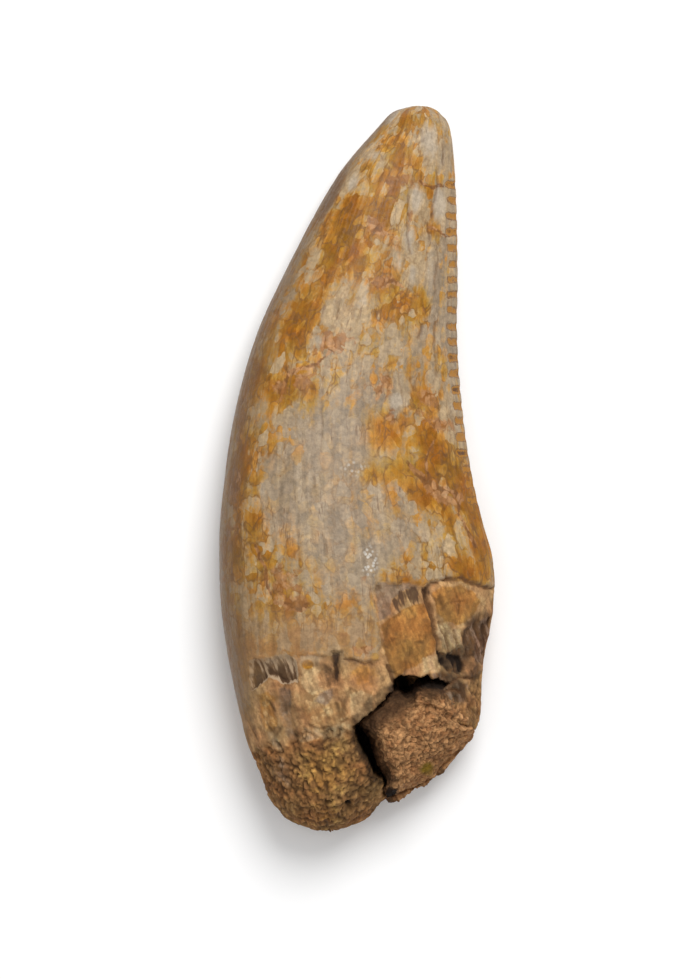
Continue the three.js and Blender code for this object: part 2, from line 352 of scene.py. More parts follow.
# Stains on the upper face: x, y, half width, half length, lean to the right in degrees, strength
AMBER = [
    (1.7, 11.5, 0.8, 0.35, -20, 0.38), (1.3, 10.8, 0.46, 0.46, 0, 0.65), (1.5, 10.2, 0.53, 0.6, 0, 0.5),
    (2.7, 11.1, 0.26, 0.66, -12, 0.4), (0.5, 8.7, 0.72, 0.86, 35, 0.6),
    (-0.3, 8.1, 0.43, 1.05, 25, 0.85), (-0.8, 6.8, 0.46, 1.1, 25, 0.6), (-0.2, 6.8, 0.33, 0.8, 15, 0.7),
    (-1.5, 5.5, 0.53, 1.2, 25, 0.45), (0.7, 7.9, 0.46, 0.46, 0, 0.6), (0.5, 7.0, 0.46, 0.33, 0, 0.4),
    (2.2, 9.1, 0.46, 0.26, 0, 0.6), (2.4, 7.8, 0.4, 0.3, 0, 0.7), (1.5, 5.3, 0.46, 0.6, 0, 0.95),
    (2.2, 5.2, 0.26, 0.53, 0, 0.8), (0.9, 5.9, 0.53, 0.33, 0, 0.25), (-1.9, 4.4, 0.72, 0.86, 10, 0.45),
    (-2.5, 2.5, 0.53, 0.6, 0, 0.8), (-3.1, 3.2, 0.33, 0.86, 10, 0.5), (-3.7, 1.6, 0.3, 1.3, 8, 0.6),
    (-3.9, -0.4, 0.3, 1.3, 0, 0.7), (-3.5, -1.5, 0.4, 0.66, 0, 0.7), (-1.2, 2.7, 1.0, 0.3, -25, 0.5),
    (0.9, 1.2, 0.56, 0.66, 0, 0.95), (0.6, -0.2, 0.4, 0.33, 0, 0.7), (1.4, 0.0, 0.53, 0.46, 30, 0.6),
    (2.3, 2.3, 0.43, 0.4, 0, 0.8), (2.6, 0.9, 0.53, 0.86, -15, 0.75), (3.0, 0.0, 0.6, 0.66, 0, 0.9),
    (3.1, -0.4, 0.5, 0.6, 0, 0.8), (2.2, -0.9, 0.86, 0.33, 20, 0.75), (3.7, -1.2, 0.4, 0.72, -15, 0.9),
    (4.0, -2.5, 0.33, 0.8, -15, 0.8), (3.1, -3.0, 0.6, 0.4, 0, 0.4), (3.7, -3.5, 0.53, 0.33, 0, 0.7),
    (1.7, -3.7, 0.86, 0.26, 10, 0.4), (-2.5, -3.5, 0.8, 1.05, -20, 0.45),
    (-4.0, -3.0, 0.33, 1.0, 0, 0.5), (-3.7, -5.6, 0.4, 1.3, -8, 0.35), (-0.9, -5.0, 0.6, 0.46, 0, 0.15),
    (0.25, -6.7, 0.7, 0.6, 0, 0.6), (-1.05, -9.8, 0.9, 0.9, 0, 0.8), (-0.9, -11.4, 0.5, 0.4, 0, 0.4),
]
RUST = [
    (1.5, 9.4, 0.53, 0.3, 0, 0.8), (0.6, 7.9, 0.43, 0.33, 0, 0.9), (1.2, 9.0, 0.33, 0.33, 0, 0.5),
    (0.9, 6.1, 0.53, 0.3, 0, 0.8), (1.7, 8.1, 0.13, 0.53, 0, 0.6), (1.8, 5.2, 0.33, 0.6, 0, 0.5),
    (-0.7, 4.1, 0.8, 0.4, -20, 0.9), (-1.7, 2.9, 0.66, 0.26, -30, 0.7), (-2.6, 2.5, 0.33, 0.4, 0, 0.8),
    (1.0, 2.8, 0.26, 0.46, 0, 0.8), (0.7, 2.4, 0.2, 0.53, 0, 0.7), (1.2, 1.6, 0.46, 0.3, 0, 0.7),
    (2.3, 2.3, 0.43, 0.4, 0, 0.8), (2.7, 1.4, 0.46, 0.26, 20, 0.8), (2.5, -0.7, 0.2, 0.46, -30, 0.9),
    (2.9, -1.0, 0.53, 0.16, 25, 0.9), (-4.0, -0.7, 0.2, 0.53, 10, 0.8),
    (-3.9, -2.0, 0.26, 0.26, 0, 0.5), (-2.4, -3.7, 0.66, 0.86, -20, 0.7),
    (-1.9, -4.4, 0.4, 0.2, 0, 0.8), (-0.5, 10.0, 0.2, 0.92, 30, 0.6), (-1.1, 8.4, 0.16, 0.46, 30, 0.7),
    (0.2, -5.85, 0.5, 0.2, 0, 0.8),
]
# Pale patches; the faint one at (0.6, -3.0) is a painted sheen
PALE_AND_SHEEN = [
    (2.4, 10.7, 0.46, 0.75, -4, 0.9), (1.1, 11.6, 0.4, 0.2, -35, 0.8), (0.6, 10.2, 0.33, 0.33, 0, 0.6),
    (-0.2, 9.4, 0.28, 0.4, 25, 0.75), (1.9, 8.9, 0.3, 0.55, 0, 0.85), (2.7, 8.7, 0.3, 0.7, 0, 0.75),
    (1.75, 7.5, 0.26, 0.6, 0, 0.75), (1.85, 6.3, 0.22, 0.45, 0, 0.75), (2.4, 6.5, 0.26, 1.4, 0, 0.6),
    (1.3, 6.8, 0.23, 0.46, -15, 0.6), (0.2, 5.5, 0.26, 0.66, 0, 0.65), (-0.5, 5.2, 0.35, 0.9, 10, 0.45),
    (3.05, 5.0, 0.3, 4.0, 0, 0.25), (-1.2, 4.1, 0.26, 0.33, 0, 0.6), (1.3, 2.2, 0.26, 0.33, 0, 0.9),
    (-0.9, 1.6, 0.9, 1.0, 0, 0.25), (0.6, -3.0, 0.5, 0.66, 0, 0.5), (3.1, 2.4, 0.2, 1.0, 0, 0.4),
    (3.3, 1.3, 0.23, 0.66, 0, 0.4), (-3.1, -0.7, 0.26, 0.46, 0, 0.4), (-1.9, -5.6, 0.53, 0.53, 0, 0.3),
]
GREY = [(3.7, -2.5, 0.26, 0.46, -20, 0.6), (-2.5, -9.8, 0.46, 0.9, -10, 0.5)]
# Dark brown marks; the ones by the hole, at (3.0, -6.75) and (1.25, -7.1), are painted shade
UMBER_AND_SHADE = [
    (-0.8, 9.0, 0.2, 1.1, 28, 1.0), (-1.1, 5.1, 0.13, 0.5, 10, 0.5), (3.35, -6.2, 0.5, 0.36, 0, 1.0),
    (3.75, -5.35, 0.3, 0.6, 20, 0.9), (4.3, -5.2, 0.3, 0.8, 0, 0.8), (3.0, -6.75, 0.7, 0.2, 0, 0.8),
    (1.25, -7.1, 0.35, 0.4, 45, 0.8), (3.9, -6.65, 0.35, 0.5, 0, 0.65),
]
# Small orange spot under the enamel's edge
ORANGE_SPOT = (-1.6, -6.32, 0.2, 0.17, 0, 1.0)
# Small white glints, painted as highlights
GLINT_HIGHLIGHTS = [(0.4, -3.0, 0.3, 0.55, 0, 1.0), (-0.1, 0.0, 0.6, 0.4, 0, 0.6)]
# The underside has the same stains, shifted along the tooth
UNDERSIDE_STAIN_SHIFT = 1.7
# Broad golden wash over the enamel
WASH = [
    (0.3, 7.5, 2.6, 4.6, 15, 0.95), (1.8, 11.2, 1.2, 1.2, 0, 0.45), (-3.6, 1.5, 0.9, 3.5, 8, 0.8),
    (-3.9, -3.0, 0.7, 3.5, -2, 0.75), (-2.4, 3.2, 1.2, 1.6, 0, 0.7), (2.6, 1.0, 1.2, 2.4, -12, 0.7),
    (3.4, -1.8, 0.9, 1.8, -18, 0.8), (-1.5, -5.2, 2.8, 1.2, 0, 0.85), (-2.6, -3.6, 1.0, 1.4, -20, 0.7),
    (2.2, -3.2, 1.6, 0.5, 0, 0.6), (-3.6, -7.0, 0.6, 2.0, -8, 0.7), (3.1, 5.0, 0.35, 5.0, 0, 0.1),
    (1.3, -1.6, 2.2, 1.6, 0, 0.25),
]
STAINS_AND_GLINTS = {
    "wash": WASH, "amber": AMBER, "rust": RUST, "pale": PALE_AND_SHEEN, "grey": GREY, "umber_and_shade": UMBER_AND_SHADE,
    "glint_highlight": GLINT_HIGHLIGHTS,
}

# Colours, as linear red, green and blue
IVORY = (0.338, 0.257, 0.172)
IVORY_GREY = (0.27, 0.2, 0.133)
CREAM = (0.412, 0.285, 0.15)
PALE_GREY = (0.4, 0.326, 0.243)
YELLOW_TAN = (0.425, 0.252, 0.098)
GOLD = (0.4, 0.202, 0.042)
AMBER_COLOUR = (0.335, 0.142, 0.013)
DEEP_AMBER = (0.24, 0.09, 0.005)
STAIN_RIM = (0.16, 0.072, 0.023)
YELLOW_CAST = (1.0, 1.12, 1.1)
RED_CAST = (1.03, 0.89, 0.8)
RUST_COLOUR = (0.225, 0.088, 0.022)
RUST_CENTRE = (0.39, 0.2, 0.088)
VEIN_BROWN = (0.14, 0.056, 0.018)
TAN = (0.3, 0.18, 0.09)
GLINT_HIGHLIGHT_COLOUR = (0.56, 0.52, 0.46)
CRACK_BROWN = (0.11, 0.05, 0.02)
EDGE_STAIN_AND_SHADE_BROWN = (0.12, 0.06, 0.02)
SHOULDER_BROWN = (0.11, 0.055, 0.032)
BONE = (0.38, 0.215, 0.098)
BONE_GREY = (0.21, 0.14, 0.1)
BONE_LIGHT = (0.44, 0.29, 0.15)
BONE_PINK = (0.32, 0.155, 0.085)
OCHRE = (0.3, 0.14, 0.038)
UMBER_AND_SHADE_COLOUR = (0.07, 0.036, 0.02)
COMB_PALE = (0.4, 0.285, 0.18)
COMB_MIDDLE = (0.15, 0.092, 0.052)
COMB_DARK_AND_SHADE = (0.055, 0.028, 0.014)
GRAIN_BROWN = (0.29, 0.147, 0.055)
GRAIN_YELLOW = (0.4, 0.21, 0.06)
GAP_SHADE_BROWN = (0.05, 0.023, 0.009)
# Black of the painted shade in holes, crevices and deep cuts
SHADE_BLACK = (0.012, 0.006, 0.003)
# Brown of the painted shade on the sandstone by the wall
WALL_SHADE_BROWN = (0.05, 0.024, 0.011)
SANDSTONE = (0.48, 0.25, 0.105)
SANDSTONE_RED = (0.34, 0.155, 0.06)
OLIVE = (0.2, 0.12, 0.012)
FLOOR_WHITE = (0.93, 0.93, 0.93)
FLOOR_ROUGHNESS = 0.9
FLOOR_SIZE = 1.0
# Stains on the bare root, each with its colour and greatest strength; the umber is partly painted shade
BONE_OVERLAYS = [
    ("pale", BONE_LIGHT, 0.85), ("grey", BONE_GREY, 0.8), ("rust", BONE_PINK, 0.8),
    ("umber_and_shade", UMBER_AND_SHADE_COLOUR, 0.9),
]
# Cells to a millimetre, about, of the bubbles, lobes, glints and dots on the enamel
BUBBLE_SCALE = 4.0
LOBE_SCALE = 2.9
GLINT_SCALE = 7.5
DOT_SCALE = 6.0
MOST_SOAKED = 1.3
SPECULAR = 0.2

# View and light
PHOTO_HEIGHT_MM = 32.17
LENS = 150.0
SENSOR = 36.0
NEAREST_SEEN = 0.001
VIEW_CENTRE = (-0.23, -0.69)
VIEW_LEVEL = 1.6
KEY_PLACE = (0.025, 0.07, 0.11)
KEY_SIZE = 0.07
KEY_POWER = 0.13
ZENITH = 0.95
HORIZON = 0.12


# Number helpers

def smoothstep(low, high, value):
    """Goes smoothly from 0 where value is low to 1 where it is high."""
    share = np.clip((value - low) / (high - low), 0, 1)
    return share * share * (3 - 2 * share)


def lerp(start, end, share):
    return start + (end - start) * share


def scatter(cells, seed):
    """Three random numbers from 0 to 1 for each whole-number cell, the same on every run."""
    key = cells.astype(np.int64).astype(np.uint32)
    mixed = (
        key[..., 0] * np.uint32(73856093)
        ^ key[..., 1] * np.uint32(19349663)
        ^ key[..., 2] * np.uint32(83492791)
        ^ np.uint32((seed + 1) * 2654435761 % 2**32)
    )
    channels = []
    for _ in range(3):
        mixed = (mixed ^ (mixed >> np.uint32(15))) * np.uint32(2246822519)
        mixed = (mixed ^ (mixed >> np.uint32(13))) * np.uint32(3266489917)
        mixed = mixed ^ (mixed >> np.uint32(16))
        channels.append(mixed / 2**32)
    return np.stack(channels, -1)


def noise(points, seed):
    """Smooth noise from about -1 to 1, with features one unit across."""
    cell = np.floor(points)
    local = points - cell
    fade = local**3 * (local * (local * 6 - 15) + 10)
    total = np.zeros(points.shape[:-1])
    for corner in np.ndindex(2, 2, 2):
        step = np.array(corner)
        slope = scatter(cell + step, seed) * 2 - 1
        weight = np.where(step == 1, fade, 1 - fade).prod(-1)
        total += weight * ((local - step) * slope).sum(-1)
    return total * 1.6


def fractal(points, octaves, seed):
    """Noise with finer noise added, from about -1 to 1."""
    total = np.zeros(points.shape[:-1])
    reach = 0
    for octave in range(octaves):
        share = 0.5**octave
        total += share * noise(points * 2**octave, seed + octave)
        reach += share
    return total / reach


def grains(points, seed):
    """For grains, one to a unit cube: distance to the nearest, how much further the next is, its tone."""
    base = np.floor(points)
    first = np.full(points.shape[:-1], 9.0)
    second = first.copy()
    tone = first.copy()
    for corner in np.ndindex(3, 3, 3):
        neighbour = base + np.array(corner) - 1
        chance = scatter(neighbour, seed)
        apart = np.linalg.norm(neighbour + chance - points, axis=-1)
        second = np.minimum(second, np.maximum(first, apart))
        tone = np.where(apart < first, (chance.sum(-1) * 7) % 1, tone)
        first = np.minimum(first, apart)
    return first, second - first, tone


# Outline helpers

def curve(points, closed=False):
    """Smooth line through the points."""
    knots = np.array(points, float)
    before, after = (knots[-1:], knots[:2]) if closed else (knots[:1], knots[-1:])
    padded = np.vstack([before, knots, after])
    share = np.linspace(0, 1, CURVE_SAMPLES, endpoint=False)[:, None]
    spans = []
    for a, b, c, d in zip(padded, padded[1:], padded[2:], padded[3:]):
        bend = (2 * a - 5 * b + 4 * c - d) * share**2 + (3 * b - a - 3 * c + d) * share**3
        spans.append(0.5 * (2 * b + (c - a) * share + bend))
    return np.vstack(spans if closed else [*spans, knots[-1:]])


def across_at(points, y):
    """First coordinate, at height y, of a smooth line that runs from tip to root."""
    line = curve(points)[::-1]
    return np.interp(y, line[:, 1], line[:, 0])


def line_distance(x, y, points):
    best = np.full(x.shape, np.inf)
    for (ax, ay), (bx, by) in zip(points, points[1:]):
        dx, dy = bx - ax, by - ay
        along = np.clip(((x - ax) * dx + (y - ay) * dy) / (dx * dx + dy * dy), 0, 1)
        best = np.minimum(best, np.hypot(x - ax - along * dx, y - ay - along * dy))
    return best


def nearest_line(x, y, lines):
    return np.min([line_distance(x, y, line) for line in lines], axis=0)


def depth_inside(x, y, outline):
    """Distance from a closed outline, above zero inside it and below zero outside."""
    ring = [*outline, outline[0]]
    inside = np.zeros(x.shape, bool)
    for (ax, ay), (bx, by) in zip(ring, ring[1:]):
        if ay != by:
            spans = (ay > y) != (by > y)
            inside ^= spans & (x < (bx - ax) * (y - ay) / (by - ay) + ax)
    apart = line_distance(x, y, ring)
    return np.where(inside, apart, -apart)


def patch(x, y, outline, softness):
    return smoothstep(-softness, softness, depth_inside(x, y, outline))


def near(x, y, line, far, close, drift=0.0):
    """1 within close of a line, falling to 0 at far from it."""
    return smoothstep(far, close, line_distance(x, y, line) + drift)


def stroke(x, y, points, half_width):
    return near(x, y, points, half_width, 0.3 * half_width)


def disc(x, y, place, inner, drift=0.0):
    """1 in the inner share of a round spot, falling to 0 at its edge."""
    cx, cy, radius = place
    return smoothstep(radius, inner * radius, np.hypot(x - cx, y - cy) + drift)


def zones(x, y, outlines, softness):
    """Strength from 0 to 1 inside outlined zones."""
    total = np.zeros(x.shape)
    for outline, strength in outlines:
        total = np.maximum(total, strength * patch(x, y, outline, softness))
    return total


def blots(x, y, places):
    """Density from 0 to 1 of soft oval stains."""
    clear = np.ones(x.shape)
    for cx, cy, width, length, lean, strength in places:
        side, up = math.cos(math.radians(lean)), math.sin(math.radians(lean))
        across = (x - cx) * side - (y - cy) * up
        along = (x - cx) * up + (y - cy) * side
        clear = clear * (1 - strength * np.exp(-((across / width) ** 2) - (along / length) ** 2))
    return 1 - clear


# Smooth shape of the tooth

def section_depth(across, front_power, back_power):
    """Height of a cross-section, 0 at its edges and 1 at its crest; across runs from -1 to 1."""
    crest = (front_power - back_power) / (front_power + back_power)
    peak = (1 + crest) ** front_power * (1 - crest) ** back_power
    return np.clip(1 + across, 0, 2) ** front_power * np.clip(1 - across, 0, 2) ** back_power / peak


def edge_level(y):
    """Height of the tooth's two edges above the surface that it lies on."""
    under = across_at(UPPER_DEPTH, y) * UNDERSIDE_SHARE
    return under - REST_FLAT + TIP_LIFT * smoothstep(LIFT_START, TIP_Y, y)


def upper_level(across, y):
    back_power = lerp(CROWN_BACK_POWER, ROOT_BACK_POWER, smoothstep(ROOT_START, ROOT_FULL, y))
    return edge_level(y) + across_at(UPPER_DEPTH, y) * section_depth(across, FRONT_POWER, back_power)


def under_level(across, y):
    hang = section_depth(across, UNDERSIDE_FRONT_POWER, UNDERSIDE_BACK_POWER)
    return edge_level(y) - across_at(UPPER_DEPTH, y) * UNDERSIDE_SHARE * hang


def row_heights():
    """Heights of the skin's rows, closer together on the root and at both ends."""
    ends = END_LENGTH * (np.arange(END_ROWS) / END_ROWS) ** 2
    root = np.linspace(ROOT_Y + END_LENGTH, ROWS_MEET, ROOT_ROWS, endpoint=False)
    crown = np.linspace(ROWS_MEET, TIP_Y - END_LENGTH, CROWN_ROWS)
    return np.concatenate([ROOT_Y + ends, root, crown, (TIP_Y - ends)[::-1]])


def ring_angles():
    """Angles round a cross-section from the back edge, evenly spaced along the upper and the lower face."""
    fine = np.linspace(0, math.pi, 2000)
    steps = np.hypot(
        np.diff(REFERENCE_HALF_WIDTH * np.cos(fine)), np.diff(REFERENCE_HEIGHT * np.sin(fine))
    )
    length = np.concatenate([[0], np.cumsum(steps)])
    upper = np.interp(np.linspace(0, length[-1], UPPER_POINTS), length, fine)
    lower = np.interp(np.linspace(0, length[-1], LOWER_POINTS + 2)[1:-1], length, fine)
    return np.concatenate([upper, math.pi + lower])


def back_inset(y):
    """How far the tooth's own back edge stands in from the outline, where the wall has broken away."""
    return WALL_INSET * smoothstep(*INSET_TOP, y) * smoothstep(*INSET_END, y)


class Skin:
    """The tooth's smooth surface as a grid of rows and rings, with what its details are drawn by."""

    def __init__(self):
        self.y, self.angle = np.meshgrid(row_heights(), ring_angles(), indexing="ij")
        self.across = np.cos(self.angle)
        front = across_at(FRONT_EDGE, self.y)
        self.back = across_at(BACK_EDGE, self.y) - back_inset(self.y)
        middle, half = (front + self.back) / 2, (self.back - front) / 2
        self.x = middle + half * self.across
        self.upper = smoothstep(-EDGE_BLEND, EDGE_BLEND, np.sin(self.angle))
        is_upper = np.sin(self.angle) >= 0
        level = np.where(is_upper, upper_level(self.across, self.y), under_level(self.across, self.y))
        self.z = np.maximum(level, 0)
        self.place = np.stack([self.x, self.y, self.z], -1)
        spread = FLOW_LEAST + FLOW_SHARE * half
        flow_z = FLOW_HEIGHT * spread * np.sin(self.angle)
        self.flow = np.stack([spread * np.cos(self.angle), self.y, flow_z], -1)
        lean = math.radians(FIBRE_LEAN)
        aslant = self.x * math.cos(lean) + self.y * math.sin(lean)
        along = self.y * math.cos(lean) - self.x * math.sin(lean)
        self.fibre_place = np.stack([aslant, along, self.z], -1)
        self.ragged_x = self.x + RAGGED_ACROSS * fractal(self.place * RAGGED_FINENESS, 3, 11)
        self.ragged_y = self.y + RAGGED_ALONG * fractal(self.place * RAGGED_FINENESS, 3, 12)
        self.ragged = (self.ragged_x, self.ragged_y)


def surface_normals(grid):
    """Outward directions of a grid of rows, each a closed ring of points."""
    along_ring = np.roll(grid, -1, 1) - np.roll(grid, 1, 1)
    normal = np.cross(np.gradient(grid, axis=0), along_ring)
    return normal / np.maximum(np.linalg.norm(normal, axis=-1, keepdims=True), 1e-9)


# Details of the tooth: each returns how deep the surface is cut, in millimetres, or where a zone lies
# The last two numbers of a fractal call are its octaves and its seed

def crown_mask(skin, softness):
    """1 on the enamel, 0 on the bare root below its ragged edge."""
    upper_bare = patch(*skin.ragged, BARE_ROOT, softness)
    under_edge = lerp(ENAMEL_FRONT_UNDER, ENAMEL_BACK_UNDER, (skin.across + 1) / 2)
    under_bare = smoothstep(softness, -softness, skin.ragged_y - under_edge)
    return 1 - lerp(under_bare, upper_bare, skin.upper)


def grain_mask(skin):
    """1 on the root's end, where the dentine is worn away to grains."""
    edge_x, edge_y = zip(*GRAIN_EDGE)
    wander = 0.35 * fractal(skin.place * 1.6, 3, 13)
    return smoothstep(0.12, -0.12, skin.ragged_y + wander - np.interp(skin.ragged_x, edge_x, edge_y))


def broken_window(skin):
    """1 where the root wall is missing, inside a frayed edge."""
    frayed_x = skin.ragged_x + 0.08 * fractal(skin.place * 4.0, 2, 14)
    frayed_y = skin.ragged_y + 0.08 * fractal(skin.place * (5.0, 3.0, 4.0), 2, 15)
    return patch(frayed_x, frayed_y, BROKEN_WALL, 0.06)


def gap_shade(skin, window):
    """Painted shade on the broken wall: black in the hole and the crevice, plain where the fill meets it,
    and darker on the wall's edge beside the crevice.
    """
    inside = smoothstep(0.1, 0.5, nearest_line(skin.x, skin.y, JOINED))
    drift = 0.2 * fractal(skin.place * 2.2, 3, 53)
    outside = smoothstep(0.5, 0.1, nearest_line(skin.x, skin.y, [CREVICE, JOINED[0]]) + drift)
    return np.maximum(window * inside, 0.6 * outside * (1 - window))


def notches(skin):
    """1 in the middle of each notch between denticles, on both faces along the back edge."""
    along = (skin.y - DENTICLE_LOW_END) / DENTICLE_PITCH + 0.12 * fractal(skin.place * 1.1, 2, 23)
    nearest = np.clip(np.round(along), 0, DENTICLE_COUNT)
    groove = smoothstep(NOTCH_HALF_WIDTH, 0.04, np.abs(along - nearest) * DENTICLE_PITCH)
    reach = DENTICLE_REACH * (1 + 0.4 * fractal(skin.place * 1.7, 2, 21))
    near_edge = smoothstep(reach, 0.6 * reach, skin.back - skin.x)
    wear = 0.7 + 0.9 * fractal(skin.place * 0.9, 2, 22)
    return groove * near_edge * np.clip(wear, 0.35, 1)


def enamel_relief(skin):
    flutes = fractal(skin.flow * (2.0, 0.2, 2.0), 2, 31)
    lines = fractal(skin.flow * (6.5, 0.5, 6.5), 3, 32)
    pocks = np.clip(fractal(skin.place * 3.0, 3, 33) - 0.25, 0, 1)
    return FLUTE_DEPTH * flutes + GROWTH_DEPTH * lines + POCK_DEPTH * pocks


def worn_grains(place, size, seed):
    """Pits and winding gaps of a worn surface, from 0 to 1, and the tone of each grain."""
    bent = place + 0.5 * size * np.stack([noise(place / size, seed + i) for i in (3, 4, 5)], -1)
    nearest, _, tone = grains(bent / size, seed)
    winding = smoothstep(0.16, 0.02, np.abs(fractal(bent * 0.6 / size, 2, seed + 7)))
    gaps = 0.8 * smoothstep(0.42, 0.8, nearest) + 0.5 * winding
    return np.clip(gaps, 0, 1), tone


def bone_relief(skin, granular, fibrous):
    """Cut below the enamel's inner face, how far in gaps it lies, which sets painted shade, and the tone of
    each plate or grain.
    """
    fibres = fractal(skin.fibre_place * (5.0, 0.9, 2.5), 3, 41)
    lumps = fractal(skin.place * 0.9, 3, 42)
    ragged = np.stack([*skin.ragged, skin.z], -1)
    _, seam, plate = grains(ragged / (0.75, 0.95, 0.75), 45)
    seams = smoothstep(0.12, 0.02, seam) * smoothstep(0.0, 0.3, fractal(skin.place * 1.5, 2, 46))
    gaps, grain_tone = worn_grains(skin.place, GRAIN_SIZE, GRAIN_SEED)
    smooth_cut = FIBRE_DEPTH * fibres + PLATE_DEPTH * plate + SEAM_DEPTH * seams
    smooth_cut = smooth_cut + fibrous * (SPLINTER_DEPTH * fibres + SPLINTER_LEAST)
    cut = lerp(smooth_cut, GRAIN_STEP + GRAIN_DEPTH * gaps, granular)
    cut = cut + LUMP_DEPTH * lumps * (0.3 + 0.7 * granular)
    splinters = fibrous * smoothstep(-0.1, 0.4, fibres)
    low = lerp(np.maximum(0.6 * seams, splinters), gaps, granular)
    return cut, np.clip(low, 0, 1), lerp(plate, grain_tone, granular)


def depth_below(skin, top, length):
    """How far below a line, as a share of the length."""
    top_x, top_y = zip(*top)
    return np.clip((np.interp(skin.ragged_x, top_x, top_y) - skin.ragged_y) / length, 0, 1)


def comb_depth(skin):
    """Rises to about 1 towards the dark side of the comb-like chip, and is 0 outside it."""
    inside = patch(*skin.ragged, COMB_CHIP, 0.06)
    return inside * (0.12 + depth_below(skin, COMB_TOP, COMB_LENGTH))


def fray_depth(skin):
    """1 along the top of the frayed chip under the enamel, less towards its lower end."""
    inside = patch(*skin.ragged, FRAYED_CHIP, 0.12)
    return inside * (1 - 0.8 * depth_below(skin, FRAYED_TOP, FRAYED_LENGTH))


def chip_cuts(skin, comb, fray):
    x, y = skin.ragged
    return np.maximum.reduce([
        COMB_CUT * smoothstep(0.1, 0.6, comb),
        FRAY_CUT * fray,
        SLOT_SIDE_CUT * patch(x, y, SLOT_SIDE, 0.05),
        SLOT_CUT * patch(x, y, SLOT, 0.06),
        TROUGH_CUT * stroke(x, y, TROUGH, TROUGH_HALF_WIDTH),
    ])


def strokes(skin, places, sway):
    """Depth of lines of uneven width, each given as its points, half width and depth."""
    amount, fineness, seed = sway
    uneven = 1 + amount * fractal(skin.place * fineness, 2, seed)
    depth = np.zeros(skin.x.shape)
    for points, half_width, deep in places:
        line = stroke(*skin.ragged, points, half_width * uneven)
        depth = np.maximum(depth, deep * line)
    return depth


def holes(skin):
    depth = np.zeros(skin.x.shape)
    for *place, deep in HOLES:
        depth = np.maximum(depth, deep * disc(*skin.ragged, place, 0.1))
    hollow = patch(*skin.ragged, SMUDGE, 0.15)
    uneven = 0.7 + 0.6 * fractal(skin.fibre_place * (5, 2, 3), 2, 26)
    return np.maximum(depth, SMUDGE_DEPTH * hollow * uneven)


# The tooth with all its details

def find_details(skin):
    """Where each detail lies on the skin: from 0 to 1 for zones, in millimetres for cuts."""
    crown = crown_mask(skin, ENAMEL_SOFTNESS)
    bare = 1 - crown
    rough_side = skin.upper * patch(*skin.ragged, ROUGH_SIDE, 0.2)
    comb, fray = comb_depth(skin), fray_depth(skin)
    return SimpleNamespace(
        crown=crown,
        bare=bare,
        granular=bare * np.maximum(grain_mask(skin), 0.8 * rough_side),
        fibrous=skin.upper * bare * zones(*skin.ragged, FIBROUS_ZONES, 0.12),
        window=skin.upper * broken_window(skin),
        notch=crown * notches(skin),
        comb=skin.upper * comb,
        fray=skin.upper * fray,
        chips=skin.upper * chip_cuts(skin, comb, fray),
        root_cracks=skin.upper * strokes(skin, ROOT_CRACKS, CRACK_SWAY),
        crown_cracks=skin.upper * strokes(skin, CROWN_CRACKS, CRACK_SWAY),
        pits=skin.upper * holes(skin),
    )


def carve(skin, found, bone_cut):
    """The skin's points with every detail cut into them."""
    enamel_step = ENAMEL_THICKNESS * lerp(FADED_STEP, 1, smoothstep(*FADED_SPAN, skin.x))
    cut = found.crown * enamel_relief(skin) + found.bare * (enamel_step + bone_cut)
    cut = cut + NOTCH_DEPTH * found.notch
    cut = cut + found.chips + np.maximum(found.root_cracks, found.pits) + found.crown_cracks
    cut = cut * lerp(UNDERSIDE_RELIEF, 1, skin.upper)

    points = skin.place - surface_normals(skin.place) * cut[..., None]
    points[..., 0] -= EDGE_NOTCH_DEPTH * found.notch * smoothstep(0.6, 1, skin.across)
    rough_floor = WALL_FLOOR + 0.12 * fractal(skin.place * 2.0, 3, 52)
    floor = np.maximum(rough_floor, under_level(skin.across, skin.y) + LEAST_WALL)
    points[..., 2] = lerp(points[..., 2], np.minimum(points[..., 2], floor), found.window)
    points[..., 2] = np.maximum(points[..., 2], 0)
    return points


def paint(skin, found, low, tone):
    """The values that the tooth's material reads."""
    stain_y = skin.y + UNDERSIDE_STAIN_SHIFT * (1 - skin.upper)
    values = {name: blots(skin.x, stain_y, places) for name, places in STAINS_AND_GLINTS.items()}
    for name, outlines in ROOT_ZONES.items():
        zone = skin.upper * found.bare * zones(*skin.ragged, outlines, ZONE_SOFTNESS)
        values[name] = np.maximum(values[name], zone)
    faded = lerp(FADED_EDGE, ENAMEL_SOFTNESS, smoothstep(*FADED_SPAN, skin.x))
    crown_crack = CROWN_CRACK_DARKNESS * found.crown_cracks / CROWN_CRACK_FULL
    # Painted shade in the chips, cracks and pits, darker where they are cut deeper
    shaded_cuts = (found.chips + found.root_cracks + found.pits - SHADE_START) / SHADE_SPAN
    values.update(
        vein=skin.upper * strokes(skin, [(*vein, 1) for vein in VEINS], VEIN_SWAY),
        veil=skin.upper * blots(skin.x, skin.y, VEIL),
        spot=skin.upper * blots(skin.x, skin.y, [ORANGE_SPOT]),
        crown=crown_mask(skin, faded),
        grain=found.granular,
        notch=found.notch,
        # Painted shade in the seams, splinters and gaps between grains
        low=low * found.bare,
        tone=tone,
        comb=found.comb,
        fray=found.fray,
        fibre=found.fibrous,
        # Brown along the rounded front edge: partly stain, partly painted shade where the edge turns away
        # from the light
        patina=smoothstep(-0.68, -0.97, skin.across),
        crack=np.clip(np.maximum(crown_crack, found.root_cracks / ROOT_CRACK_FULL), 0, 1),
        # Painted shade: black in the hole and crevice, darker beside the crevice and in deep cuts
        dirt=np.clip(np.maximum(skin.upper * gap_shade(skin, found.window), shaded_cuts), 0, 1),
    )
    return values


def dress_tooth(skin):
    """The skin's final points and the values that its material reads."""
    found = find_details(skin)
    bone_cut, low, tone = bone_relief(skin, found.granular, found.fibrous)
    return carve(skin, found, bone_cut), paint(skin, found, low, tone)


# Mesh helpers

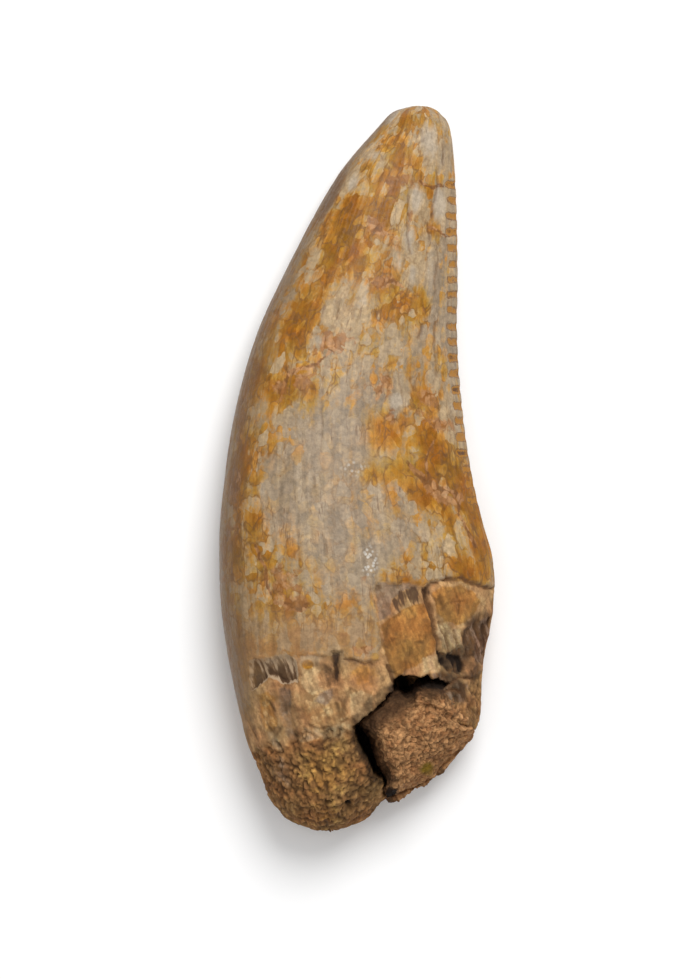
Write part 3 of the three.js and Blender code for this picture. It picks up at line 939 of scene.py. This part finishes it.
def new_piece(name, points, faces, values, flow, material):
    """A smooth mesh piece, given in millimetres, with its painted values as named attributes."""
    mesh = bpy.data.meshes.new(name)
    mesh.from_pydata((np.clip(points, BOX_LOW, BOX_HIGH) * MM).tolist(), [], faces)
    for key, value in values.items():
        layer = mesh.attributes.new(key, "FLOAT", "POINT")
        layer.data.foreach_set("value", value.astype(np.float32))
    layer = mesh.attributes.new("flow", "FLOAT_VECTOR", "POINT")
    layer.data.foreach_set("vector", flow.astype(np.float32).ravel())
    mesh.shade_smooth()
    mesh.materials.append(material)
    mesh.validate()
    piece = bpy.data.objects.new(name, mesh)
    bpy.context.scene.collection.objects.link(piece)
    return piece


def grid_faces(rows, ring):
    """Faces of a closed tube of rows, each a ring of points, with its ends closed by one point each."""
    index = np.arange(rows * ring).reshape(rows, ring)
    after = np.roll(index, -1, 1)
    quads = np.stack([index[:-1], index[1:], after[1:], after[:-1]], -1).reshape(-1, 4)
    low, high = rows * ring, rows * ring + 1
    low_fan = np.stack([index[0], after[0], np.full(ring, low)], -1)
    high_fan = np.stack([after[-1], index[-1], np.full(ring, high)], -1)
    return quads.tolist() + low_fan.tolist() + high_fan.tolist()


def close_ends(grid):
    """The grid's values as a list, with one value more for the middle of each end."""
    flat = grid.reshape(-1, *grid.shape[2:])
    return np.concatenate([flat, grid[:1].mean(1), grid[-1:].mean(1)])


def tube_piece(name, points, values, flow, material):
    """A piece made of a closed tube of rows, with its values and its flow painted on."""
    faces = grid_faces(*points.shape[:2])
    painted = {key: close_ends(value) for key, value in values.items()}
    return new_piece(name, close_ends(points), faces, painted, close_ends(flow), material)


def capped(grid):
    """Adds rings that close in on the middle of the root's broken end."""
    middle = grid[:1].mean(1, keepdims=True)
    shares = np.arange(1, ROOT_CAP_RINGS + 1) / (ROOT_CAP_RINGS + 1)
    rings = [lerp(middle, grid[:1], share) for share in shares]
    return np.concatenate([*rings, grid])


def roughen_end(points, values):
    """Cuts grains into the rings of the root's end, in place of values drawn in from its edge."""
    end = slice(0, ROOT_CAP_RINGS)
    gaps, tone = worn_grains(points[end], GRAIN_SIZE, GRAIN_SEED)
    points[end, :, 1] += GRAIN_DEPTH * gaps
    values["low"][end] = gaps
    values["tone"][end] = tone


def build_tooth(material):
    skin = Skin()
    points, values = dress_tooth(skin)
    points = capped(points)
    values = {key: capped(value) for key, value in values.items()}
    roughen_end(points, values)
    return tube_piece("tooth_skin", points, values, capped(skin.flow), material)


# Sandstone inside the root

FILL_SPOKES = 320
FILL_RINGS = 100
FILL_UNDER_RINGS = 26
FILL_SIDE_LEVEL = 1.6
FILL_BELLY = 0.5
FILL_SINK = 0.12
SEAM_RISE = 0.12
OPEN_ROUNDING = 8.0
JOINED_ROUNDING = 22.0
LEDGE_CRACK = [(1.9, -7.7), (2.47, -7.75), (2.77, -7.95), (3.23, -8.2), (3.98, -8.45)]
LEDGE_HALF_WIDTH = 0.14
LEDGE_DEPTH = 0.12
FILL_LEAST_CUT = 0.05
FILL_LUMP_DEPTH = 0.14
FILL_UNEVEN_DEPTH = 0.08
FILL_GRAIN_SIZE = 0.8 * GRAIN_SIZE
FILL_GRAIN_DEPTH = 0.06
FILL_PIT_DEPTH = 0.1
FILL_SWELL_POWER = 0.45
# Lines that the sandstone sinks towards: where the dip starts, where it is full, and its depth
FILL_DIPS = [
    (HOLE_LIP, 0.45, 0.0, 0.9), (CREVICE, 0.8, 0.0, 0.4), (JOINED[0], 0.8, 0.2, 0.15),
    (HOLE_TOP, 0.5, 0.0, 0.12),
]
# Lines along which painted shadow makes it black and painted shade makes it dusky: where that starts and
# where it is full
# The last number of a shadow is how far its edge wanders
FILL_SHADOWS = [(HOLE_LIP, 0.4, 0.05, 1), (HOLE_TOP, 0.2, 0.03, 1), (CREVICE, 0.15, 0.02, 0)]
FILL_WALL_SHADE = [(JOINED[0], 1.2, 0.5), (HOLE_TOP, 0.8, 0.2), (CREVICE, 0.75, 0.15)]
# Round spots: x, y and radius
OLIVE_SPOT = (2.32, -9.84, 0.32)
# Black spot painted as the shadow in a hole at the root's end
END_HOLE_SHADOW = (1.12, -10.74, 0.27)


def fill_base():
    """Smooth dome of sandstone under the tooth's outline, as rings from its crest to its underside."""
    rim = curve(FILL_OUTLINE, closed=True)
    spokes = np.linspace(0, len(rim), FILL_SPOKES, endpoint=False)
    looped = np.vstack([rim, rim[:1]])
    outline = np.stack([np.interp(spokes, np.arange(len(looped)), looped[:, i]) for i in (0, 1)], -1)
    top = np.linspace(0, 1, FILL_RINGS + 1)[1:-1]
    under = np.linspace(1, 0, FILL_UNDER_RINGS)[:-1]
    reach = np.concatenate([top, under])[:, None]
    x = FILL_CENTRE[0] + reach * (outline[:, 0] - FILL_CENTRE[0])
    y = FILL_CENTRE[1] + reach * (outline[:, 1] - FILL_CENTRE[1])
    rim_x, rim_y = outline[:, 0], outline[:, 1]
    joined = nearest_line(rim_x, rim_y, JOINED)
    rounding = lerp(JOINED_ROUNDING, OPEN_ROUNDING, smoothstep(0.1, 0.4, joined))
    swell = (1 - reach**rounding) ** FILL_SWELL_POWER
    on_top = (np.arange(len(reach)) < len(top))[:, None]
    upper = FILL_SIDE_LEVEL + (fill_crest(x, y) - FILL_SIDE_LEVEL) * swell
    return np.stack([x, y, np.where(on_top, upper, FILL_SIDE_LEVEL - FILL_BELLY * swell)], -1)


def fill_crest(x, y):
    """Height of the sandstone: just under the tooth's own surface, lower by the hole and crevice."""
    front, back = across_at(FRONT_EDGE, y), across_at(BACK_EDGE, y)
    across = np.clip((2 * x - front - back) / (back - front), -0.999, 0.999)
    sink = lerp(FILL_SINK, -SEAM_RISE, near(x, y, JOINED[1], 0.6, 0.1))
    for line, far, close, depth in FILL_DIPS:
        sink = sink + depth * near(x, y, line, far, close)
    return upper_level(across, y) - sink


def build_fill(material):
    base = fill_base()
    x, y = base[..., 0], base[..., 1]
    lumps = fractal(base * 1.2, 3, 61)
    gaps, tone = worn_grains(base, FILL_GRAIN_SIZE, 62)
    ledge = stroke(x + 0.15 * lumps, y + 0.15 * lumps, LEDGE_CRACK, LEDGE_HALF_WIDTH)
    pits = smoothstep(0.3, 0.7, fractal(base * 2.0, 2, 64))
    cut = FILL_LEAST_CUT + FILL_LUMP_DEPTH * lumps + FILL_UNEVEN_DEPTH * fractal(base * 3.5, 2, 66)
    cut = cut + FILL_GRAIN_DEPTH * gaps + LEDGE_DEPTH * ledge + FILL_PIT_DEPTH * pits
    points = base - surface_normals(base) * cut[..., None]
    drift = 0.25 * fractal(base * 1.8, 3, 65)
    shadow = [near(x, y, line, far, close, share * drift) for line, far, close, share in FILL_SHADOWS]
    wall_shade = [near(x, y, line, far, close, drift) for line, far, close in FILL_WALL_SHADE]
    end_hole_shadow = disc(x, y, END_HOLE_SHADOW, 0.4, 0.2 * lumps)
    values = {
        # Painted shadow in the hole, crevice and end hole, and painted shade in the ledge crack and pits
        "dirt": np.clip(1.3 * end_hole_shadow + np.maximum.reduce(shadow) + 0.2 * ledge + 0.2 * pits, 0, 1),
        "wall_shade": np.maximum.reduce(wall_shade),
        "low": np.clip(gaps, 0, 1),
        "tone": tone,
        "olive": disc(x, y, OLIVE_SPOT, 0.4),
    }
    return tube_piece("sandstone_lump", points, values, base, material)


# Materials

class Graph:
    """A material's node graph, with a short call for each kind of node used here."""

    def __init__(self, name):
        self.material = bpy.data.materials.new(name)
        self.material.use_nodes = True
        self.nodes = self.material.node_tree.nodes
        self.shader = self.nodes["Principled BSDF"]

    def wire(self, value, socket):
        """Links another node's value to the socket, or sets the socket to a number or a colour."""
        if isinstance(value, bpy.types.NodeSocket):
            self.material.node_tree.links.new(value, socket)
        elif isinstance(value, tuple) and socket.type == "RGBA":
            socket.default_value = (*value, 1)
        else:
            socket.default_value = value

    def node(self, kind, inputs, **settings):
        """A new node, set up and with its inputs wired."""
        node = self.nodes.new("ShaderNode" + kind)
        for name, setting in settings.items():
            setattr(node, name, setting)
        for name, value in inputs.items():
            self.wire(value, node.inputs[name])
        return node

    def attribute(self, name, output="Fac"):
        return self.node("Attribute", {}, attribute_name=name).outputs[output]

    def place(self):
        """Place on the object, in millimetres."""
        return self.stretch(self.node("TexCoord", {}).outputs["Object"], (1 / MM, 1 / MM, 1 / MM))

    def stretch(self, vector, factors):
        return self.node("VectorMath", {0: vector, 1: factors}, operation="MULTIPLY").outputs["Vector"]

    def noise(self, vector, scale, detail=4.0, roughness=0.55, distortion=0.0):
        shape = {"Scale": scale, "Detail": detail, "Roughness": roughness, "Distortion": distortion}
        return self.node("TexNoise", {"Vector": vector, **shape}).outputs["Fac"]

    def streaks(self, vector, across, along, **shape):
        """Noise drawn out along the tooth."""
        return self.noise(self.stretch(vector, (across, along, across)), 1.0, **shape)

    def warp(self, vector, scale, amount):
        """The place, pushed about by noise."""
        push = self.node("TexNoise", {"Vector": vector, "Scale": scale}).outputs["Color"]
        inputs = {0: push, 1: (amount, amount, amount), 2: vector}
        return self.node("VectorMath", inputs, operation="MULTIPLY_ADD").outputs["Vector"]

    def turn(self, vector, degrees):
        """The place, turned about the upright axis."""
        inputs = {"Vector": vector, "Angle": math.radians(degrees)}
        return self.node("VectorRotate", inputs, rotation_type="Z_AXIS").outputs["Vector"]

    def cells(self, vector, scale, output="Distance"):
        return self.node("TexVoronoi", {"Vector": vector, "Scale": scale}).outputs[output]

    def math(self, operation, first, second=0.0, clamp=False):
        inputs = {0: first, 1: second}
        return self.node("Math", inputs, operation=operation, use_clamp=clamp).outputs["Value"]

    def step(self, value, low, high, start=0.0, end=1.0):
        """Goes smoothly from start where value is low to end where it is high."""
        inputs = {"Value": value, "From Min": low, "From Max": high, "To Min": start, "To Max": end}
        return self.node("MapRange", inputs, interpolation_type="SMOOTHSTEP").outputs["Result"]

    def mix(self, share, first, second, blend="MIX"):
        node = self.node("Mix", {}, data_type="RGBA", blend_type=blend)
        self.wire(share, node.inputs["Factor"])
        start, end = (socket for socket in node.inputs if socket.type == "RGBA")
        self.wire(first, start)
        self.wire(second, end)
        return next(socket for socket in node.outputs if socket.type == "RGBA")

    def ramp(self, value, stops):
        node = self.node("ValToRGB", {"Fac": value})
        elements = node.color_ramp.elements
        while len(elements) < len(stops):
            elements.new(1.0)
        for element, (position, colour) in zip(elements, stops):
            element.position = position
            element.color = (*colour, 1)
        return node.outputs["Color"]

    def bump(self, height, distance_mm, strength):
        inputs = {"Strength": strength, "Distance": distance_mm * MM, "Height": height}
        return self.node("Bump", inputs).outputs["Normal"]

    def chain(self, operation, values):
        total = values[0]
        for value in values[1:]:
            total = self.math(operation, total, value)
        return total

    def times(self, *values):
        return self.chain("MULTIPLY", values)

    def add(self, *values):
        return self.chain("ADD", values)

    def sway(self, value, amount):
        """A noise value, which lies round a half, as a swing of up to amount either way."""
        return self.math("MULTIPLY", self.math("SUBTRACT", value, 0.5), 2 * amount)

    def band(self, value, middle, half_width):
        """1 where the value lies close to the middle, falling to 0 at half_width from it."""
        apart = self.math("ABSOLUTE", self.math("SUBTRACT", value, middle))
        return self.step(apart, half_width, 0.2 * half_width)

    def lay(self, ground, colour, *shares):
        """The ground with a colour laid over it, as strongly as the product of the shares."""
        return self.mix(self.times(*shares), ground, colour)

    def tint(self, colour, factor):
        """The colour, made darker or lighter by a factor that varies over the surface."""
        return self.mix(1.0, colour, factor, "MULTIPLY")

    def shade(self, colour, value, low, high, darkest, lightest):
        """The colour, darkest where the value is low and lightest where it is high."""
        return self.tint(colour, self.step(value, low, high, darkest, lightest))

    def finish(self, colour, roughness, normal):
        """Wires up the shader and returns the material."""
        for name, value in (("Base Color", colour), ("Roughness", roughness), ("Normal", normal)):
            self.wire(value, self.shader.inputs[name])
        self.shader.inputs["Specular IOR Level"].default_value = SPECULAR
        return self.material


def scales(graph, place):
    """Small round bubbles: 1 between them, and a tone for each."""
    bent = graph.warp(graph.stretch(place, (1.0, 0.8, 1.0)), 2.2, 0.6)
    between = graph.step(graph.cells(bent, BUBBLE_SCALE), 0.45, 0.68)
    return between, graph.cells(bent, BUBBLE_SCALE, output="Color")


def hue_drift(graph, place, colour):
    """The colour, a little yellower in some places and redder in others."""
    drift = graph.noise(place, 1.1, detail=4, roughness=0.6)
    return graph.tint(colour, graph.ramp(drift, [(0.36, RED_CAST), (0.64, YELLOW_CAST)]))


def lobes(graph, flow):
    """Large bubbles drawn out along the tooth: 1 on their rims, 1 inside them, and a tone for each."""
    bent = graph.warp(graph.warp(graph.stretch(flow, (1.0, 0.6, 1.0)), 1.4, 0.8), 6.0, 0.12)
    apart = graph.cells(bent, LOBE_SCALE)
    tone = graph.cells(bent, LOBE_SCALE, output="Color")
    return graph.band(apart, 0.57, 0.1), graph.step(apart, 0.62, 0.48), tone


def stain_density(graph, flow, speckle, lobe, tone):
    """How deeply the enamel is stained, from below 0 to about 1.3."""
    drift = graph.streaks(flow, 1.8, 0.75, detail=5, roughness=0.6, distortion=0.5)
    streak = graph.streaks(flow, 4.0, 0.3, detail=3)
    wash = graph.attribute("wash")
    swing = graph.add(
        graph.sway(drift, 1.1), graph.times(lobe, 0.7), graph.sway(tone, 0.22), graph.sway(streak, 0.55),
        graph.sway(speckle, 0.35),
    )
    restless = graph.step(wash, 0.0, 0.6, 0.18, 1.0)
    return graph.add(
        graph.times(graph.attribute("amber"), 0.9),
        graph.times(wash, 0.34),
        graph.times(graph.attribute("pale"), -0.8),
        graph.times(swing, restless),
    )


def stained(graph, flow, soaked, patchy, lines):
    """Ivory that turns through yellow and gold to deep amber, with brown lines here and there."""
    streak = graph.streaks(flow, 2.6, 0.22, detail=4)
    ground = graph.lay(IVORY_GREY, IVORY, graph.step(streak, 0.35, 0.65))
    wash = graph.add(graph.attribute("wash"), graph.sway(streak, 0.4))
    ground = graph.lay(ground, CREAM, graph.step(wash, 0.1, 0.8, end=0.85))
    bands = graph.ramp(
        graph.math("DIVIDE", soaked, MOST_SOAKED, clamp=True),
        [(0.04, YELLOW_TAN), (0.3, GOLD), (0.55, AMBER_COLOUR), (0.85, DEEP_AMBER)],
    )
    colour = graph.lay(ground, hue_drift(graph, flow, bands), graph.step(soaked, -0.1, 0.45))
    here_and_there = graph.step(patchy, 0.42, 0.6)
    return graph.lay(colour, STAIN_RIM, lines, here_and_there, graph.step(soaked, 0.1, 0.6, 0.0, 0.3))


def rimmed(graph, patchy, soaked, rims, middles, colour):
    """Lobes that are lighter in the middle and have thin brown rims where they are stained."""
    colour = graph.shade(colour, middles, 0.0, 1.0, 0.88, 1.02)
    strength = graph.times(graph.step(patchy, 0.36, 0.54), graph.step(soaked, -0.1, 0.45, 0.05, 0.65))
    return graph.lay(colour, STAIN_RIM, rims, strength)


def whitened(graph, flow, tone, ground):
    """Pale grey islands that have thin brown rims, and small white glints painted as highlights."""
    drift = graph.streaks(flow, 2.6, 1.1, detail=3, distortion=0.5)
    island = graph.add(graph.attribute("pale"), graph.sway(drift, 0.6), graph.sway(tone, 0.12))
    rim = graph.band(island, 0.3, 0.1)
    colour = graph.lay(ground, STAIN_RIM, rim, graph.step(graph.attribute("wash"), 0.3, 0.7, end=0.28))
    colour = graph.lay(colour, PALE_GREY, graph.step(island, 0.32, 0.82, end=0.85))
    # Painted highlights: small white glints
    dots = graph.step(graph.cells(graph.place(), GLINT_SCALE), 0.5, 0.2)
    return graph.lay(colour, GLINT_HIGHLIGHT_COLOUR, dots, graph.step(graph.attribute("glint_highlight"), 0.2, 0.8, end=0.8))


def rusted(graph, place, lines, tone, ground):
    """Rust-brown patches of small bubbles with lighter middles."""
    edge = graph.noise(place, 2.3, detail=5, roughness=0.65)
    vein = graph.times(graph.attribute("vein"), 0.8)
    density = graph.add(graph.attribute("rust"), vein, graph.sway(edge, 0.9), graph.sway(tone, 0.25))
    dark = graph.math("MAXIMUM", lines, graph.step(tone, 0.5, 0.7, end=0.6))
    rust = graph.lay(RUST_CENTRE, RUST_COLOUR, dark)
    rust = graph.lay(rust, VEIN_BROWN, vein, lines)
    return graph.lay(ground, rust, graph.step(density, 0.35, 0.7, end=0.85))


def bubbled(graph, place, patchy, colour):
    """Tiny light bubbles in some places."""
    dots = graph.step(graph.cells(place, DOT_SCALE), 0.62, 0.3)
    glow = graph.times(dots, graph.step(patchy, 0.45, 0.6, end=0.16))
    return graph.tint(colour, graph.math("ADD", glow, 0.97))


def notched(graph, patchy, speckle, colour):
    """Orange notches with brown rims between the denticles."""
    cut = graph.attribute("notch")
    notch = graph.times(graph.add(cut, graph.sway(speckle, 0.7)), graph.step(cut, 0.0, 0.15))
    colour = graph.lay(colour, AMBER_COLOUR, graph.step(notch, 0.2, 0.5, end=0.9))
    colour = graph.lay(colour, STAIN_RIM, graph.band(notch, 0.25, 0.15), 0.85)
    return graph.lay(colour, CRACK_BROWN, graph.step(notch, 0.65, 1.0), graph.step(patchy, 0.46, 0.56))


def enamel_colour(graph, flow, place, speckle, lines, tone):
    patchy = graph.noise(place, 1.3, detail=3)
    rims, middles, lobe_tone = lobes(graph, flow)
    lobe = graph.times(graph.sway(lobe_tone, 1.0), middles)
    soaked = stain_density(graph, flow, speckle, lobe, tone)
    colour = rimmed(graph, patchy, soaked, rims, middles, stained(graph, flow, soaked, patchy, lines))
    colour = graph.lay(whitened(graph, flow, tone, colour), TAN, graph.attribute("veil"), 0.75)
    colour = rusted(graph, place, lines, tone, colour)
    colour = bubbled(graph, place, patchy, colour)
    growth = graph.streaks(flow, 6.0, 0.4, detail=3)
    colour = graph.shade(colour, growth, 0.3, 0.7, 0.9, 1.08)
    colour = graph.shade(colour, speckle, 0.25, 0.75, 0.78, 1.2)
    hair = graph.streaks(flow, 3.0, 0.16, detail=3)
    hairline = graph.band(hair, 0.5, 0.015)
    colour = graph.lay(colour, CRACK_BROWN, hairline, graph.step(patchy, 0.48, 0.6, end=0.45))
    umber_and_shade = graph.add(graph.attribute("umber_and_shade"), graph.sway(speckle, 0.5))
    colour = graph.lay(colour, SHOULDER_BROWN, graph.step(umber_and_shade, 0.25, 0.7, end=0.75))
    colour = notched(graph, patchy, speckle, colour)
    # Brown along the rounded front edge: partly stain, partly painted shade where the edge turns away from
    # the light
    return graph.lay(colour, EDGE_STAIN_AND_SHADE_BROWN, graph.attribute("patina"), 0.7)


def strands(graph, place, thickness, detail):
    """Noise drawn out along the fibres of the bare root."""
    aslant = graph.turn(place, -FIBRE_LEAN)
    return graph.noise(graph.stretch(aslant, (6.0, 1.2, thickness)), 1.0, detail=detail)


def combed(graph, place, colour):
    """Pale lobes that hang into the dark of the comb-like chip, and dark strokes across the frayed one. The
    dark is partly the chips' own colour and partly painted shade, low in the comb's cut and under the
    enamel's edge on the frayed chip.
    """
    hanging = strands(graph, place, 2.0, 3)
    comb, fray = graph.attribute("comb"), graph.attribute("fray")
    depth = graph.add(comb, graph.sway(hanging, 1.9))
    chip = graph.ramp(depth, [(0.3, COMB_PALE), (0.55, COMB_MIDDLE), (0.85, COMB_DARK_AND_SHADE)])
    colour = graph.lay(colour, chip, graph.step(comb, 0.02, 0.14, end=0.9))
    dark = graph.step(graph.add(fray, graph.sway(hanging, 1.6)), 0.35, 0.9)
    return graph.lay(colour, UMBER_AND_SHADE_COLOUR, dark, graph.step(fray, 0.05, 0.3, end=0.9))


def bone_colour(graph, place, speckle, lines):
    """Bare dentine: ochre, grey and pale plates above, brown and yellow grains towards the root's end."""
    edge = graph.noise(place, 2.2, detail=4, roughness=0.65)
    tone = graph.attribute("tone")
    swing = graph.add(graph.sway(edge, 0.6), graph.sway(tone, 0.12))
    amber = graph.add(graph.attribute("amber"), swing)
    smooth = graph.lay(BONE, OCHRE, graph.step(amber, 0.3, 0.75))
    worn = graph.lay(GRAIN_BROWN, GRAIN_YELLOW, graph.step(amber, 0.1, 0.7))
    colour = graph.lay(smooth, worn, graph.attribute("grain"))
    for name, overlay, most in BONE_OVERLAYS:
        share = graph.step(graph.add(graph.attribute(name), swing), 0.3, 0.75, end=most)
        colour = graph.lay(colour, overlay, share)
    colour = graph.lay(colour, AMBER_COLOUR, graph.step(graph.attribute("spot"), 0.25, 0.6))
    fibres = strands(graph, place, 3.0, 4)
    colour = graph.lay(colour, BONE_GREY, graph.step(fibres, 0.5, 0.62, end=0.7), graph.attribute("fibre"))
    colour = graph.shade(colour, fibres, 0.3, 0.7, 0.72, 1.25)
    colour = graph.shade(colour, edge, 0.3, 0.7, 0.75, 1.25)
    colour = graph.shade(colour, speckle, 0.25, 0.75, 0.72, 1.25)
    colour = hue_drift(graph, place, graph.shade(colour, tone, 0.0, 1.0, 0.85, 1.15))
    colour = graph.lay(colour, STAIN_RIM, lines, graph.step(edge, 0.4, 0.6, end=0.5))
    # Painted shade in the seams, splinters and gaps between grains
    colour = graph.lay(colour, GAP_SHADE_BROWN, graph.attribute("low"), 0.85)
    return combed(graph, place, colour)


def tooth_material():
    graph = Graph("fossil_tooth")
    flow, place = graph.attribute("flow", "Vector"), graph.place()
    speckle = graph.noise(place, 6.0, detail=4, roughness=0.7)
    crown = graph.attribute("crown")
    lines, tone = scales(graph, place)
    bone = bone_colour(graph, place, speckle, lines)
    colour = graph.lay(bone, enamel_colour(graph, flow, place, speckle, lines, tone), crown)
    colour = graph.lay(colour, CRACK_BROWN, graph.attribute("crack"), 0.85)
    # Painted shade, black in the hole and crevice and dark in deep cuts, cracks and pits
    dirt = graph.add(graph.attribute("dirt"), graph.sway(graph.noise(place, 4.0, detail=3), 0.25))
    colour = graph.lay(colour, SHADE_BLACK, graph.step(dirt, 0.25, 0.85))

    gloss = graph.step(speckle, 0.3, 0.7, 0.36, 0.52)
    dull = graph.math("MULTIPLY", graph.math("SUBTRACT", 1.0, crown), 0.45)
    growth = graph.streaks(flow, 5.0, 0.5, detail=3)
    rough = graph.add(growth, speckle, graph.times(lines, -0.2))
    return graph.finish(colour, graph.math("ADD", gloss, dull), graph.bump(rough, 0.03, 0.6))


def sandstone_material():
    graph = Graph("fossil_sandstone")
    place = graph.place()
    tone = graph.attribute("tone")
    grain = graph.add(graph.noise(place, 2.5, detail=5, roughness=0.7), graph.sway(tone, 0.2))
    colour = graph.lay(SANDSTONE_RED, SANDSTONE, graph.step(grain, 0.3, 0.65))
    # Painted shade on the sandstone where it lies by the wall, the hole and the crevice
    colour = graph.lay(colour, WALL_SHADE_BROWN, graph.attribute("wall_shade"), 0.9)
    speckle = graph.noise(place, 7.0, detail=5, roughness=0.75)
    colour = graph.shade(colour, speckle, 0.25, 0.75, 0.5, 1.5)
    # Painted shade in the gaps between grains
    colour = graph.lay(colour, GAP_SHADE_BROWN, graph.attribute("low"), 0.65)
    colour = graph.lay(colour, OLIVE, graph.attribute("olive"))
    # Painted shadow and shade in the hole, crevice, end hole, ledge crack and pits
    colour = graph.lay(colour, SHADE_BLACK, graph.attribute("dirt"))
    return graph.finish(colour, graph.step(speckle, 0.3, 0.7, 0.85, 1.0), graph.bump(speckle, 0.08, 0.8))


def floor_material():
    graph = Graph("studio_floor")
    graph.wire(FLOOR_WHITE, graph.shader.inputs["Base Color"])
    graph.wire(FLOOR_ROUGHNESS, graph.shader.inputs["Roughness"])
    return graph.material


# Stage

def build_floor():
    mesh = bpy.data.meshes.new("studio_floor")
    half = FLOOR_SIZE / 2
    corners = [(-half, -half, 0), (half, -half, 0), (half, half, 0), (-half, half, 0)]
    mesh.from_pydata(corners, [], [(0, 1, 2, 3)])
    mesh.materials.append(floor_material())
    floor = bpy.data.objects.new("studio_floor", mesh)
    bpy.context.scene.collection.objects.link(floor)


def build_light():
    world = bpy.data.worlds.new("studio")
    world.use_nodes = True
    nodes, links = world.node_tree.nodes, world.node_tree.links
    split = nodes.new("ShaderNodeSeparateXYZ")
    links.new(nodes.new("ShaderNodeTexCoord").outputs["Generated"], split.inputs[0])
    fade = nodes.new("ShaderNodeMapRange")
    fade.inputs["To Min"].default_value = HORIZON
    fade.inputs["To Max"].default_value = ZENITH
    links.new(split.outputs["Z"], fade.inputs["Value"])
    background = nodes["Background"]
    background.inputs["Color"].default_value = (1, 1, 1, 1)
    links.new(fade.outputs["Result"], background.inputs["Strength"])
    bpy.context.scene.world = world
    lamp = bpy.data.lights.new("key", "AREA")
    lamp.shape = "DISK"
    lamp.size = KEY_SIZE
    lamp.energy = KEY_POWER
    key = bpy.data.objects.new("key", lamp)
    key.location = KEY_PLACE
    key.rotation_euler = (-key.location).to_track_quat("-Z", "Y").to_euler()
    bpy.context.scene.collection.objects.link(key)


def build_camera():
    camera = bpy.data.cameras.new("camera")
    camera.lens = LENS
    camera.sensor_width = SENSOR
    camera.sensor_height = SENSOR
    camera.clip_start = NEAREST_SEEN
    viewer = bpy.data.objects.new("camera", camera)
    distance = PHOTO_HEIGHT_MM * LENS / SENSOR
    viewer.location = (VIEW_CENTRE[0] * MM, VIEW_CENTRE[1] * MM, (VIEW_LEVEL + distance) * MM)
    bpy.context.scene.collection.objects.link(viewer)
    bpy.context.scene.camera = viewer
    bpy.context.scene.view_settings.view_transform = "Standard"


def add_piece(piece, node):
    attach(piece, "root")
    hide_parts(node)


build_camera()
build_light()
build_floor()
add_piece(build_tooth(tooth_material()), "tooth")
add_piece(build_fill(sandstone_material()), "sandstone_fill")
